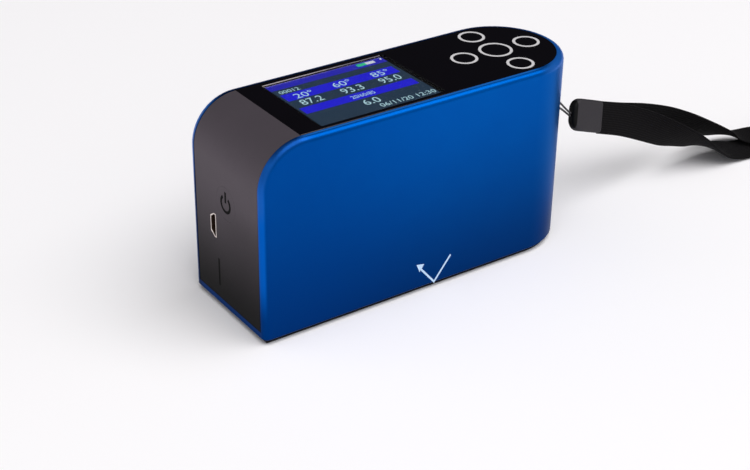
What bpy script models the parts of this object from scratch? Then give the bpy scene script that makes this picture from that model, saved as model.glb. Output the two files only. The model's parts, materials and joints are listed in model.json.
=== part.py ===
# Handheld gloss meter that measures at 20, 60 and 85 degrees.
# X runs along the body to its round end, Y across it and Z up.
# The origin is under the middle of the base. Sizes are in millimetres, and MM turns them to metres.

import math

import bmesh
import bpy
from mathutils import Matrix, Vector

MM = 0.001

# Fits
SEAT = 0.1               # between faces that rest on each other
FIT = 0.2                # around a piece that sits in an opening
OVERRUN = 5.0            # how far a cutter passes the face that it cuts

# Casing
LENGTH = 140.0
WIDTH = 48.0
HEIGHT = 75.0            # from the surface it stands on to the top panel
WALL = 2.7
FLOOR = 2.5
LEDGE = 1.2              # width of the step that carries the top panel and the end cover
EDGE_ROUND = 2.4         # outer edge along the top and the open end
FOOT_CHAMFER = 0.4       # outer edge at the bottom
CORNER_RADIUS = 17.0     # the sweep from the end to the top
ROUND_STEPS = 36         # facets of the round end
CORNER_STEPS = 14        # facets of the corner sweep
BORE_STEPS = 20          # facets of bores and turned pieces
SMALL_STEPS = 14         # facets of screws and small holes

# Base plate
BASE_THICKNESS = 2.0
BASE_INSET = 1.6
BASE_CHAMFER = 0.3
SPOT_X = 2.0             # middle of the measured spot
APERTURE_LENGTH = 64.0
CHAMBER_WALL = 3.5       # from the aperture's side to the block's side
CHAMBER_DEPTH = 5.0      # hollow in the optics block above the aperture
FLOOR_WINDOW_MARGIN = 0.6

# Skin of the open side: end cover and top panel
SKIN = 2.2
COVER_EDGE = 0.35        # rounding on the cover's long edges
LIP_THICKNESS = 1.4
LIP_DEPTH = 6.0
COVER_BOSS_RADIUS = 1.9
SLOT_Y = 6.2
SLOT_BOTTOM = 9.7
SLOT_HEIGHT = 10.7
SLOT_WIDTH = 0.7
PANEL_GAP = 0.1

# Display
SCREEN_SETBACK = 27.4    # from the flat end to the lit area
SCREEN_TO_KEYS = 23.8    # from the lit area to the middle of the left key
WINDOW_MARGIN = 1.4
WINDOW_RECESS = 0.6
MODULE_BORDER_X = 2.8
MODULE_BORDER_Y = 2.1
MODULE_SIDE = 0.3        # from the display module to the casing's side
MODULE_THICKNESS = 2.7
FACE_RECESS = 0.15

# Touch keys
KEY_SHIFT = 1.4          # from the middle of the round end back to the centre key
KEY_SIDE = 5.7           # from the middle of the front and back keys to the casing's side
KEY_RADIUS = 5.1
KEY_GAP = 2.95           # between the centre ring and the others
KEY_LINE = 1.05
PRINT_THICKNESS = 0.05
PRINT_LIFT = 0.02
SENSOR_RADIUS = 3.6
RING_STEPS = 32

# Boards and their stack
BOARD_THICKNESS = 1.6
BOARD_GAP = 0.6          # from a board's edge to the casing
UPPER_PILLAR = 14.8
PILLAR_RADIUS = 2.5
PILLAR_GAP = 2.2         # from a pillar to the casing's side
PILLAR_TO_KEYS = 3.2     # from the right pillars to the middle of the left key
STACK_SCREW_RADIUS = 1.25
STACK_SCREW_GRIP = 5.0
STACK_HEAD_RADIUS = 2.2
STACK_HEAD_HEIGHT = 1.4
STACK_HEAD_GAP = 0.6     # from a screw head to the display module
BATTERY_HEIGHT = 9.0
BATTERY_GAP = 5.7        # from the left pillars to the battery
BATTERY_END = 4.5        # from the battery to the right pillars
BATTERY_SIDE = 3.1       # from the battery to the casing's side
BATTERY_CORNER = 3.0
BATTERY_EDGE = 1.0

# Board behind the end cover
IO_BOARD_SETBACK = 9.4   # from the flat end to the board
IO_BOARD_HEAD = 11.1     # from the button's middle to the board's upper edge
IO_BOARD_FOOT = 12.9     # from the socket's middle to the board's lower edge
IO_BOARD_SIDE = 1.5      # from the board to the cover's lips

# Power button and its switch
BUTTON_DROP = 13.1       # from the lower end of the sweep to the button's middle
BUTTON_RADIUS = 6.2
BUTTON_GAP = 0.15
BUTTON_FLANGE = 1.1
BUTTON_FLANGE_HEIGHT = 1.0
BUTTON_EDGE = 0.2
BUTTON_STEPS = 36
BUTTON_TRAVEL = 0.5
STEM_RADIUS = 1.6
SWITCH_SIZE = 6.0
SWITCH_DEPTH = 3.4
SWITCH_CORNER = 0.6
PLUNGER_RADIUS = 1.7
PLUNGER_REACH = 1.6      # how far the plunger stands out of the switch
PLUNGER_HOLD = 0.8       # how far it stays inside

# Data socket
SOCKET_Y = 9.3
SOCKET_DROP = 12.0       # from the button's middle to the socket's middle
SOCKET_LONG = 9.3       # long side of the flared mouth, upright
SOCKET_SHORT = 6.0
SOCKET_THICK = 3.9
SOCKET_SHEET = 0.45
TONGUE_LENGTH = 5.6
TONGUE_THICK = 0.8
TONGUE_SETBACK = 1.2

# Optics: each beam angle, in degrees, has its own reach from the spot and its own bore and seat
STEEP = 20
MIDDLE = 60
LOW = 85
BLOCK_SIDE = 1.9         # from the block to the pillars
BLOCK_HEADROOM = 2.1     # from the block to the main board
BLOCK_END = 0.8          # from the block's foot to the casing's round wall
REAR_HEADROOM = 1.1      # from the highest lamp to the main board
MIDDLE_STEP = 3.5        # how much nearer the 60 degree face is than the 85 degree face
SEAT_DEPTH = 7.0
SEAT_RADIUS = {STEEP: 4.4, MIDDLE: 4.4}
BORE_LEDGE = {STEEP: 1.0, MIDDLE: 1.0, LOW: 0.6}
RIM_REST = 0.13          # from the rims of the 85 degree lamp and detector to the base plate
LENS_THICKNESS = 2.4
LENS_SAG = 0.7
LAMP_FLANGE = 0.9
LAMP_FLANGE_HEIGHT = 1.2
DETECTOR_CROWN = 0.5

# Base screws
BASE_SCREW_RADIUS = 1.5
BASE_HEAD_RADIUS = 2.8
BASE_HEAD_DEPTH = 0.15   # how far the heads lie below the base
BASE_SCREW_GRIP = 10.0
SCREW_CLEARANCE = 0.2
DRIVE_RADIUS = 1.1
DRIVE_DEPTH = 0.8

# Wrist strap
HOLE_LOW_Z = 46.0
HOLE_PITCH = 4.0
HOLE_RADIUS = 1.1
CORD_DIAMETER = 0.8
SLEEVE_WIDTH = 12.2
SLEEVE_THICKNESS = 4.2
SLEEVE_END_RADIUS = 4.5
SLEEVE_START = Vector((85.0, 0.5, 38.5))
SLEEVE_END = Vector((100.4, 0.2, 33.3))
SLEEVE_LEAN = 20.0
WEBBING_WIDTH = 13.0
WEBBING_THICKNESS = 0.9

# Values that follow from the ones above
HALF = LENGTH / 2
ROUND_X = HALF - WIDTH / 2
FLOOR_TOP = BASE_THICKNESS + FLOOR
SPLIT_X = -HALF + CORNER_RADIUS
LINING = WALL + LEDGE
CAVITY_HALF = WIDTH / 2 - LINING
SKIN_HALF = WIDTH / 2 - WALL - FIT
LIP_HALF = CAVITY_HALF - FIT
COVER_FOOT = FLOOR_TOP + SEAT
PANEL_UNDERSIDE = HEIGHT - SKIN
MODULE_TOP = PANEL_UNDERSIDE - SEAT
MODULE_BOTTOM = MODULE_TOP - MODULE_THICKNESS
DISPLAY_BOARD_TOP = MODULE_BOTTOM - SEAT
DISPLAY_BOARD_BOTTOM = DISPLAY_BOARD_TOP - BOARD_THICKNESS
MAIN_BOARD_TOP = DISPLAY_BOARD_BOTTOM - UPPER_PILLAR - 2 * SEAT
BOARD_LEVEL = MAIN_BOARD_TOP - BOARD_THICKNESS
BUTTON_Z = HEIGHT - CORNER_RADIUS - BUTTON_DROP
SOCKET_Z = BUTTON_Z - SOCKET_DROP
IO_BOARD_LEFT = -HALF + IO_BOARD_SETBACK
IO_BOARD_RIGHT = IO_BOARD_LEFT + BOARD_THICKNESS
IO_BOARD_HALF = LIP_HALF - LIP_THICKNESS - IO_BOARD_SIDE
IO_BOARD_TOP = BUTTON_Z + IO_BOARD_HEAD
IO_BOARD_BOTTOM = SOCKET_Z - IO_BOARD_FOOT
MAIN_BOARD_LEFT = IO_BOARD_RIGHT + SEAT
BOARD_INSET = LINING + BOARD_GAP
KEY_X = ROUND_X - KEY_SHIFT
KEY_PITCH = CAVITY_HALF - KEY_SIDE
CENTRE_KEY_RADIUS = KEY_PITCH - KEY_RADIUS - KEY_GAP
SCREEN_LEFT = -HALF + SCREEN_SETBACK
SCREEN_RIGHT = KEY_X - KEY_PITCH - SCREEN_TO_KEYS
SCREEN_HALF = CAVITY_HALF - MODULE_SIDE - MODULE_BORDER_Y
PILLAR_LEFT = SCREEN_LEFT - MODULE_BORDER_X - STACK_HEAD_GAP - STACK_HEAD_RADIUS
PILLAR_RIGHT = KEY_X - KEY_PITCH - PILLAR_TO_KEYS
PILLAR_Y = CAVITY_HALF - PILLAR_GAP - PILLAR_RADIUS
BATTERY_LEFT = PILLAR_LEFT + PILLAR_RADIUS + BATTERY_GAP
BATTERY_RIGHT = PILLAR_RIGHT - PILLAR_RADIUS - BATTERY_END
BATTERY_HALF = CAVITY_HALF - BATTERY_SIDE
PLATE_TOP = BASE_THICKNESS - SEAT
BASE_BORE = BASE_SCREW_RADIUS + SCREW_CLEARANCE
STACK_BORE = STACK_SCREW_RADIUS + SCREW_CLEARANCE
BLOCK_BOTTOM = BASE_THICKNESS + SEAT
BLOCK_TOP = BOARD_LEVEL - BLOCK_HEADROOM
BLOCK_HALF = PILLAR_Y - PILLAR_RADIUS - BLOCK_SIDE
APERTURE_HALF = BLOCK_HALF - CHAMBER_WALL
REAR_REACH = SEAT + LAMP_FLANGE_HEIGHT + DETECTOR_CROWN


def face_reaches():
    """How far from the spot each outer face of the block lies, along its own beam."""
    low = math.radians(LOW)
    steep = math.radians(STEEP)
    foot = ROUND_X + math.sqrt(CAVITY_HALF ** 2 - BLOCK_HALF ** 2) - BLOCK_END - SPOT_X
    rim = SEAT_RADIUS[STEEP] + LAMP_FLANGE
    low_reach = foot * math.sin(low) + BLOCK_BOTTOM * math.cos(low)
    steep_reach = (BOARD_LEVEL - REAR_HEADROOM - rim * math.sin(steep)) / math.cos(steep) - REAR_REACH
    return {STEEP: steep_reach, MIDDLE: low_reach - MIDDLE_STEP, LOW: low_reach}


REACH = face_reaches()
SEAT_RADIUS[LOW] = REACH[LOW] * math.cos(math.radians(LOW)) - PLATE_TOP - LAMP_FLANGE - RIM_REST
KEY_PLACES = {
    "left": (KEY_X - KEY_PITCH, 0.0, KEY_RADIUS),
    "right": (KEY_X + KEY_PITCH, 0.0, KEY_RADIUS),
    "back": (KEY_X, KEY_PITCH, KEY_RADIUS),
    "front": (KEY_X, -KEY_PITCH, KEY_RADIUS),
    "centre": (KEY_X, 0.0, CENTRE_KEY_RADIUS),
}
PILLAR_PLACES = [
    (PILLAR_LEFT, -PILLAR_Y), (PILLAR_LEFT, PILLAR_Y),
    (PILLAR_RIGHT, -PILLAR_Y), (PILLAR_RIGHT, PILLAR_Y),
]

# Route of the thin cord, from the sleeve through the upper hole and back from the lower one
CORD_ROUTE = [
    (84.7, 0.65, 39.0), (81.8, 0.6, 41.8), (78.6, 0.4, 45.1), (75.6, 0.2, 48.0), (72.6, 0.0, 49.8),
    (69.5, 0.0, 50.0), (67.0, 0.0, 50.0), (65.4, 0.0, 49.4), (64.8, 0.0, 48.0), (65.4, 0.0, 46.6),
    (67.0, 0.0, 46.0), (69.5, 0.0, 46.0), (72.6, 0.0, 45.8), (75.8, 0.2, 44.6), (78.8, 0.4, 42.7),
    (81.5, 0.6, 40.5), (84.35, 0.55, 38.0),
]

# Route of the webbing loop: place of its middle line and the lean of its width from upright, in degrees
WEBBING_ROUTE = [
    (100.8, -0.5, 33.2, 18), (112.0, -1.0, 29.4, 16), (124.0, -2.4, 24.2, 6), (134.0, -4.0, 19.2, -12),
    (142.5, -5.4, 15.2, -34), (149.5, -6.4, 11.7, -51), (155.5, -7.1, 8.7, -74), (161.0, -7.7, 6.3, -93),
    (167.0, -8.1, 4.0, -102), (176.0, -8.7, 2.1, -100), (187.0, -9.0, 1.9, -98), (198.0, -8.2, 2.6, -108),
    (206.0, -7.0, 5.3, -136), (213.5, -6.0, 6.6, -168), (220.5, -7.6, 6.8, -180), (224.6, -13.0, 6.8, -180),
    (223.0, -19.6, 6.8, -180), (216.5, -22.8, 6.8, -188),
    (208.5, -20.8, 6.1, -218), (200.5, -16.0, 5.1, -248),
    (192.5, -10.3, 4.7, -258), (186.0, -5.4, 4.6, -262), (181.0, -1.8, 4.5, -276), (176.5, 0.4, 5.4, -292),
    (170.5, 1.4, 7.6, -304), (162.0, 2.0, 11.2, -318), (151.0, 2.6, 15.9, -338), (139.0, 2.9, 20.6, -358),
    (126.0, 2.6, 24.9, -372), (113.0, 1.6, 28.8, -377), (100.8, 0.8, 32.8, -378),
]


# Scene and helpers
for old in list(bpy.data.objects):
    bpy.data.objects.remove(old, do_unlink=True)


def new_collection(name):
    made = bpy.data.collections.new(name)
    bpy.context.scene.collection.children.link(made)
    return made


parts = new_collection("gloss_meter")
cutters = new_collection("cutters")
body_centre = bpy.data.objects.new("gloss_meter_frame", None)
parts.objects.link(body_centre)


def material(name, colour, roughness, metallic=0.0):
    made = bpy.data.materials.new(name)
    made.use_nodes = True
    shader = made.node_tree.nodes["Principled BSDF"]
    shader.inputs["Base Color"].default_value = (*colour, 1.0)
    shader.inputs["Roughness"].default_value = roughness
    shader.inputs["Metallic"].default_value = metallic
    made.diffuse_color = (*colour, 1.0)
    return made


def arc(cx, cy, radius, start, end, steps):
    """Points of an arc, its angles in degrees."""
    points = []
    for i in range(steps + 1):
        a = math.radians(start + (end - start) * i / steps)
        points.append((cx + radius * math.cos(a), cy + radius * math.sin(a)))
    return points


def circle(cx, cy, radius, steps=BORE_STEPS):
    return arc(cx, cy, radius, 0, 360 - 360 / steps, steps - 1)


def rounded_rectangle(x0, y0, x1, y1, radius, steps=4):
    corners = [(x1 - radius, y0 + radius, -90), (x1 - radius, y1 - radius, 0),
               (x0 + radius, y1 - radius, 90), (x0 + radius, y0 + radius, 180)]
    points = []
    for cx, cy, start in corners:
        points += arc(cx, cy, radius, start, start + 90, steps)
    return points


def box_outline(cx, cy, width, height):
    return [(cx - width / 2, cy - height / 2), (cx + width / 2, cy - height / 2),
            (cx + width / 2, cy + height / 2), (cx - width / 2, cy + height / 2)]


def plan_outline(inset, left=-HALF, steps=ROUND_STEPS):
    """The body seen from above, drawn in by inset: square at the left, round at the right."""
    radius = WIDTH / 2 - inset
    return [(left, -radius)] + arc(ROUND_X, 0, radius, -90, 90, steps) + [(left, radius)]


def side_outline(inset, bottom, right=HALF + OVERRUN):
    """The body seen from the front, drawn in by inset at the left end, the sweep and the top."""
    sweep = arc(SPLIT_X, HEIGHT - CORNER_RADIUS, CORNER_RADIUS - inset, 90, 180, CORNER_STEPS)
    return [(-HALF + inset, bottom), (right, bottom), (right, HEIGHT - inset)] + sweep


TURNS = {
    "XY": Matrix.Identity(4),
    "XZ": Matrix(((1, 0, 0, 0), (0, 0, -1, 0), (0, 1, 0, 0), (0, 0, 0, 1))),
    "YZ": Matrix(((0, 0, 1, 0), (1, 0, 0, 0), (0, 1, 0, 0), (0, 0, 0, 1))),
}


def add_object(name, mesh, finish):
    """Put a mesh in the part's collection, or among the cutters when it has no finish."""
    made = bpy.data.objects.new(name, mesh)
    if finish is None:
        cutters.objects.link(made)
        made.hide_render = True
        made.display_type = "WIRE"
    else:
        parts.objects.link(made)
        made.data.materials.clear()
        made.data.materials.append(finish)
        made.parent = body_centre
    return made


def evaluated_mesh(source):
    depsgraph = bpy.context.evaluated_depsgraph_get()
    return bpy.data.meshes.new_from_object(source.evaluated_get(depsgraph))


def tidy_mesh(mesh, turn=None):
    """Weld a mesh, join its flat triangles, turn it and face it outwards."""
    shape = bmesh.new()
    shape.from_mesh(mesh)
    bmesh.ops.remove_doubles(shape, verts=shape.verts, dist=1e-6)
    bmesh.ops.dissolve_limit(shape, angle_limit=math.radians(0.2), verts=shape.verts, edges=shape.edges)
    if turn is not None:
        bmesh.ops.transform(shape, matrix=turn, verts=shape.verts)
    bmesh.ops.recalc_face_normals(shape, faces=shape.faces)
    shape.to_mesh(mesh)
    shape.free()


def slab(name, loops, low, high, plane="XY", finish=None):
    """A flat outline, with any holes, given thickness from low to high along the plane's normal."""
    curve = bpy.data.curves.new(name, "CURVE")
    curve.dimensions = "2D"
    curve.fill_mode = "BOTH"
    curve.extrude = (high - low) / 2 * MM
    for loop in loops:
        spline = curve.splines.new("POLY")
        spline.points.add(len(loop) - 1)
        for point, (x, y) in zip(spline.points, loop):
            point.co = (x * MM, y * MM, 0, 1)
        spline.use_cyclic_u = True
    guide = bpy.data.objects.new(name + "_outline", curve)
    bpy.context.scene.collection.objects.link(guide)
    mesh = evaluated_mesh(guide)
    bpy.data.objects.remove(guide)
    bpy.data.curves.remove(curve)
    middle = (low + high) / 2 * MM
    offset = {"XY": (0, 0, middle), "XZ": (0, middle, 0), "YZ": (middle, 0, 0)}[plane]
    tidy_mesh(mesh, Matrix.Translation(offset) @ TURNS[plane])
    mesh.name = name
    return add_object(name, mesh, finish)


def turned(name, profile, finish=None, steps=BORE_STEPS):
    """Spin a profile of (radius, height) points about Z. It runs down the outer side."""
    mesh = bpy.data.meshes.new(name)
    mesh.from_pydata([(r * MM, 0, h * MM) for r, h in profile],
                     [(i, i + 1) for i in range(len(profile) - 1)], [])
    made = add_object(name, mesh, finish)
    spin = made.modifiers.new("spin", "SCREW")
    spin.angle = math.tau
    spin.steps = steps
    spin.render_steps = steps
    spin.use_merge_vertices = True
    spin.merge_threshold = 1e-6
    settle(made)
    return made


def settle(made, weld=True):
    """Apply an object's modifiers."""
    mesh = evaluated_mesh(made)
    made.modifiers.clear()
    old = made.data
    made.data = mesh
    mesh.name = made.name
    bpy.data.meshes.remove(old)
    if weld:
        tidy_mesh(mesh)


def cut(target, *tools, operation="DIFFERENCE"):
    for tool in tools:
        step = target.modifiers.new(tool.name, "BOOLEAN")
        step.operation = operation
        step.solver = "EXACT"
        step.object = tool


def rod(name, start, direction, length, radius, finish=None, steps=BORE_STEPS):
    """A plain round rod, used for bores and pins."""
    made = turned(name, [(0, length), (radius, length), (radius, 0), (0, 0)], finish, steps)
    aim(made, start, direction)
    return made


def aim(made, start, direction):
    """Stand a turned piece at start, with its Z axis along direction."""
    made.location = Vector(start) * MM
    made.rotation_euler = Vector(direction).to_track_quat("Z", "Y").to_euler()


def bevel_edges(made, wanted, width, segments):
    """Round the edges that wanted(first_face, second_face, edge) picks."""
    shape = bmesh.new()
    shape.from_mesh(made.data)
    shape.normal_update()
    edges = [e for e in shape.edges if len(e.link_faces) == 2 and wanted(*e.link_faces, e)]
    bmesh.ops.bevel(shape, geom=edges, offset=width * MM, offset_type="OFFSET", segments=segments,
                    profile=0.5, affect="EDGES", clamp_overlap=False)
    bmesh.ops.remove_doubles(shape, verts=shape.verts, dist=1e-6)
    shape.to_mesh(made.data)
    shape.free()


def smooth(made, angle=32):
    made.data.shade_smooth()
    made.data.set_sharp_from_angle(angle=math.radians(angle))


def is_wall(face):
    """A face of the upright sides: the front, the back and the round end."""
    return abs(face.normal.z) < 0.01 and face.normal.x > -0.5


def is_skin(face):
    """A face of the top, the sweep or the flat end."""
    return abs(face.normal.y) < 0.01 and (face.normal.z > 0.01 or face.normal.x < -0.99)


# Finishes
blue_anodised = material("blue_anodised", (0.0, 0.075, 0.37), 0.34, 0.75)
grey_plastic = material("grey_plastic", (0.06, 0.055, 0.06), 0.6)
black_plastic = material("black_plastic", (0.012, 0.012, 0.013), 0.5)
gloss_black = material("gloss_black", (0.003, 0.003, 0.004), 0.08)
clear_glass = material("clear_glass", (0.85, 0.88, 0.9), 0.03)
screen_blue = material("screen_blue", (0.02, 0.03, 0.35), 0.2)
print_grey = material("print_grey", (0.68, 0.67, 0.68), 0.5)
foam_black = material("foam_black", (0.02, 0.02, 0.02), 0.9)
board_green = material("board_green", (0.01, 0.12, 0.05), 0.45)
steel = material("steel", (0.6, 0.6, 0.62), 0.3, 1.0)
brass = material("brass", (0.7, 0.5, 0.2), 0.3, 1.0)
battery_foil = material("battery_foil", (0.35, 0.37, 0.42), 0.35, 0.6)
lens_glass = material("lens_glass", (0.8, 0.86, 0.88), 0.02)
lamp_white = material("lamp_white", (0.8, 0.8, 0.76), 0.4)
sensor_black = material("sensor_black", (0.03, 0.03, 0.05), 0.3)
cord_black = material("cord_black", (0.02, 0.018, 0.02), 0.8)
sleeve_grey = material("sleeve_grey", (0.045, 0.042, 0.045), 0.6)


# Casing: the plan cut to the side outline, hollowed from the open top and end
def make_casing():
    made = slab("casing", [plan_outline(0)], BASE_THICKNESS, HEIGHT, finish=blue_anodised)
    side = slab("side_shape", [side_outline(0, -OVERRUN)], -WIDTH, WIDTH, "XZ")
    cut(made, side, operation="INTERSECT")
    settle(made)
    rim = min(EDGE_ROUND, WALL - 0.2)
    bevel_edges(made, lambda a, b, e: (is_wall(a) and is_skin(b)) or (is_wall(b) and is_skin(a)), rim, 4)
    bevel_edges(made, lambda a, b, e: min(a.normal.z, b.normal.z) < -0.99, FOOT_CHAMFER, 1)

    beyond = -HALF - OVERRUN
    hollow = slab("hollow", [plan_outline(LINING, beyond)], FLOOR_TOP, HEIGHT + OVERRUN)
    rebate = slab("rebate", [plan_outline(WALL, beyond)], FLOOR_TOP, HEIGHT + OVERRUN)
    core = slab("rebate_core", [side_outline(SKIN + SEAT, -OVERRUN)], -WIDTH, WIDTH, "XZ")
    cut(rebate, core)
    cut(made, hollow, rebate,
        floor_window("block_window", REACH[LOW], BLOCK_HALF),
        floor_window("lamp_window", REACH[LOW] + REAR_REACH, SEAT_RADIUS[LOW] + LAMP_FLANGE))
    for i, (x, y) in enumerate(PILLAR_PLACES, 1):
        cut(made, rod(f"casing_screw_hole_{i}", (x, y, 0), (0, 0, 1), FLOOR_TOP + 1, BASE_BORE,
                      steps=SMALL_STEPS))
    for i in range(2):
        cut(made, rod(f"strap_hole_{i + 1}", (ROUND_X, 0, HOLE_LOW_Z + i * HOLE_PITCH), (1, 0, 0),
                      WIDTH / 2 + OVERRUN, HOLE_RADIUS, steps=SMALL_STEPS))
    settle(made)
    smooth(made)


def floor_window(name, reach, half):
    """An opening in the floor, centred on the measured spot, that clears what passes through it."""
    reach += FLOOR_WINDOW_MARGIN
    half += FLOOR_WINDOW_MARGIN
    outline = rounded_rectangle(SPOT_X - reach, -half, SPOT_X + reach, half, 2.0)
    return slab(name, [outline], 0, FLOOR_TOP + 1)


# End cover: a moulded skin with lips that locate it, bosses for its board and its openings
def socket_outline(grow=0.0):
    """Mouth of the data socket in Y and Z, its long side toward the middle of the cover."""
    near = SOCKET_Y - SOCKET_THICK / 2 - grow
    far = SOCKET_Y + SOCKET_THICK / 2 + grow
    long_half = SOCKET_LONG / 2 + grow
    short_half = SOCKET_SHORT / 2 + grow
    shoulder = SOCKET_Y - SOCKET_THICK * 0.15
    return [(near, SOCKET_Z - long_half), (shoulder, SOCKET_Z - long_half), (far, SOCKET_Z - short_half),
            (far, SOCKET_Z + short_half), (shoulder, SOCKET_Z + long_half), (near, SOCKET_Z + long_half)]


def skin_band(outer, inner):
    """Section of the cover between two insets, from its foot up to the joint with the panel."""
    centre = HEIGHT - CORNER_RADIUS
    out = arc(SPLIT_X, centre, CORNER_RADIUS - outer, 180, 90, CORNER_STEPS)
    back = arc(SPLIT_X, centre, CORNER_RADIUS - inner, 90, 180, CORNER_STEPS)
    return [(-HALF + outer, COVER_FOOT)] + out + back + [(-HALF + inner, COVER_FOOT)]


def make_end_cover():
    made = slab("end_cover", [skin_band(0, SKIN)], -SKIN_HALF, SKIN_HALF, "XZ", grey_plastic)
    bevel_edges(made, lambda a, b, e: (abs(a.normal.y) > 0.99 and outward(b)) or
                (abs(b.normal.y) > 0.99 and outward(a)), COVER_EDGE, 2)
    root = SKIN * 0.7
    for name, side in (("front", -1), ("back", 1)):
        low, high = sorted((side * (LIP_HALF - LIP_THICKNESS), side * LIP_HALF))
        lip = slab(f"cover_lip_{name}", [skin_band(root, LIP_DEPTH)], low, high, "XZ")
        cut(made, lip, operation="UNION")
    boss_length = IO_BOARD_SETBACK - SEAT - root
    boss_y = IO_BOARD_HALF - COVER_BOSS_RADIUS - BOARD_GAP
    boss_top = IO_BOARD_TOP - COVER_BOSS_RADIUS - BOARD_GAP
    boss_low = IO_BOARD_BOTTOM + COVER_BOSS_RADIUS + BOARD_GAP
    for i, (y, z) in enumerate([(-boss_y, boss_low), (-boss_y, boss_top), (boss_y, boss_top)], 1):
        cut(made, rod(f"cover_boss_{i}", (-HALF + root, y, z), (1, 0, 0), boss_length,
                      COVER_BOSS_RADIUS, steps=SMALL_STEPS), operation="UNION")
    outside = -HALF - OVERRUN
    inside = -HALF + SKIN + OVERRUN
    button_hole = rod("button_hole", (outside, 0, BUTTON_Z), (1, 0, 0), inside - outside,
                      BUTTON_RADIUS + BUTTON_GAP, steps=BUTTON_STEPS)
    socket_hole = slab("socket_hole", [socket_outline(BUTTON_GAP)], outside, inside, "YZ")
    slot = slab("cover_slot", [box_outline(SLOT_Y, SLOT_BOTTOM + SLOT_HEIGHT / 2, SLOT_WIDTH, SLOT_HEIGHT)],
                outside, inside, "YZ")
    cut(made, button_hole, socket_hole, slot)
    settle(made)
    smooth(made)


def outward(face):
    """A face of the cover's outer surface."""
    centre = face.calc_center_median() / MM
    from_sweep = Vector((centre.x - SPLIT_X, centre.z - HEIGHT + CORNER_RADIUS))
    outside = from_sweep.length > CORNER_RADIUS - SKIN / 2 if centre.z > HEIGHT - CORNER_RADIUS else \
        centre.x < -HALF + SKIN / 2
    return outside and abs(face.normal.y) < 0.01 and face.normal.z > -0.5


# Base plate with the slot that the beams pass through
def aperture_outline():
    return rounded_rectangle(SPOT_X - APERTURE_LENGTH / 2, -APERTURE_HALF,
                             SPOT_X + APERTURE_LENGTH / 2, APERTURE_HALF, APERTURE_HALF - SEAT, 8)


def make_base():
    made = slab("base_plate", [plan_outline(BASE_INSET, -HALF + BASE_INSET), aperture_outline()],
                0, PLATE_TOP, finish=black_plastic)
    bevel_edges(made, lambda a, b, e: min(a.normal.z, b.normal.z) < -0.99 and is_outer_edge(e),
                BASE_CHAMFER, 1)
    sink = BASE_HEAD_RADIUS - BASE_SCREW_RADIUS
    mouth = BASE_HEAD_RADIUS + SCREW_CLEARANCE
    for i, (x, y) in enumerate(PILLAR_PLACES, 1):
        seat = turned(f"base_countersink_{i}", [
            (0, FLOOR_TOP), (BASE_BORE, FLOOR_TOP), (BASE_BORE, sink), (mouth, 0), (mouth, -1), (0, -1)],
            steps=SMALL_STEPS)
        seat.location = Vector((x, y, 0)) * MM
        cut(made, seat)
        make_base_screw(f"base_screw_{i}", x, y, sink)
    settle(made)
    smooth(made)


def is_outer_edge(edge):
    """An edge on the plate's own outline, not on its slot."""
    middle = (edge.verts[0].co + edge.verts[1].co) / 2 / MM
    reach = WIDTH / 2 - BASE_INSET - SEAT
    if middle.x > ROUND_X:
        return math.hypot(middle.x - ROUND_X, middle.y) > reach
    return abs(middle.y) > reach or middle.x < -HALF + BASE_INSET + SEAT


def make_base_screw(name, x, y, sink):
    """A countersunk screw that clamps base and casing to a pillar."""
    low = BASE_HEAD_DEPTH
    top = FLOOR_TOP + BASE_SCREW_GRIP
    tip = BASE_SCREW_RADIUS * 0.6
    made = turned(name, [
        (0, top), (tip, top), (BASE_SCREW_RADIUS, top - tip), (BASE_SCREW_RADIUS, sink + low),
        (BASE_HEAD_RADIUS, low), (DRIVE_RADIUS, low), (DRIVE_RADIUS, low + DRIVE_DEPTH),
        (0, low + DRIVE_DEPTH)], steel, SMALL_STEPS)
    made.location = Vector((x, y, 0)) * MM
    smooth(made)


# Pillars, boards and battery, stacked on the casing floor
def upright_rod(name, x, y, low, high, radius):
    return rod(name, (x, y, low), (0, 0, 1), high - low, radius, steps=SMALL_STEPS)


def make_pillar(name, x, y, low, high):
    """A six sided brass pillar."""
    made = slab(name, [circle(0, 0, PILLAR_RADIUS, 6)], low, high, finish=brass)
    made.location = Vector((x, y, 0)) * MM
    return made


def make_pillars(number, x, y):
    lower = make_pillar(f"lower_pillar_{number}", x, y, FLOOR_TOP + SEAT, BOARD_LEVEL - SEAT)
    cut(lower,
        upright_rod(f"lower_pillar_{number}_foot", x, y, FLOOR_TOP - 1, FLOOR_TOP + BASE_SCREW_GRIP + 1,
                    BASE_BORE),
        upright_rod(f"lower_pillar_{number}_head", x, y, BOARD_LEVEL - STACK_SCREW_GRIP - 1, BOARD_LEVEL + 1,
                    STACK_BORE))
    low = MAIN_BOARD_TOP + SEAT
    high = DISPLAY_BOARD_BOTTOM - SEAT
    upper = make_pillar(f"upper_pillar_{number}", x, y, low, high)
    cut(upper, upright_rod(f"upper_pillar_{number}_stud", x, y, BOARD_LEVEL - STACK_SCREW_GRIP, low + 1,
                           STACK_SCREW_RADIUS), operation="UNION")
    cut(upper, upright_rod(f"upper_pillar_{number}_bore", x, y, high - STACK_SCREW_GRIP - 1, high + 1,
                           STACK_BORE))
    head = DISPLAY_BOARD_TOP + SEAT
    top = head + STACK_HEAD_HEIGHT
    shoulder = STACK_HEAD_HEIGHT * 0.4
    screw = turned(f"board_screw_{number}", [
        (0, top - DRIVE_DEPTH), (DRIVE_RADIUS, top - DRIVE_DEPTH), (DRIVE_RADIUS, top),
        (STACK_HEAD_RADIUS - shoulder, top), (STACK_HEAD_RADIUS, top - shoulder), (STACK_HEAD_RADIUS, head),
        (STACK_SCREW_RADIUS, head), (STACK_SCREW_RADIUS, high - STACK_SCREW_GRIP),
        (0, high - STACK_SCREW_GRIP)], steel, SMALL_STEPS)
    screw.location = Vector((x, y, 0)) * MM
    smooth(screw)


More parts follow.
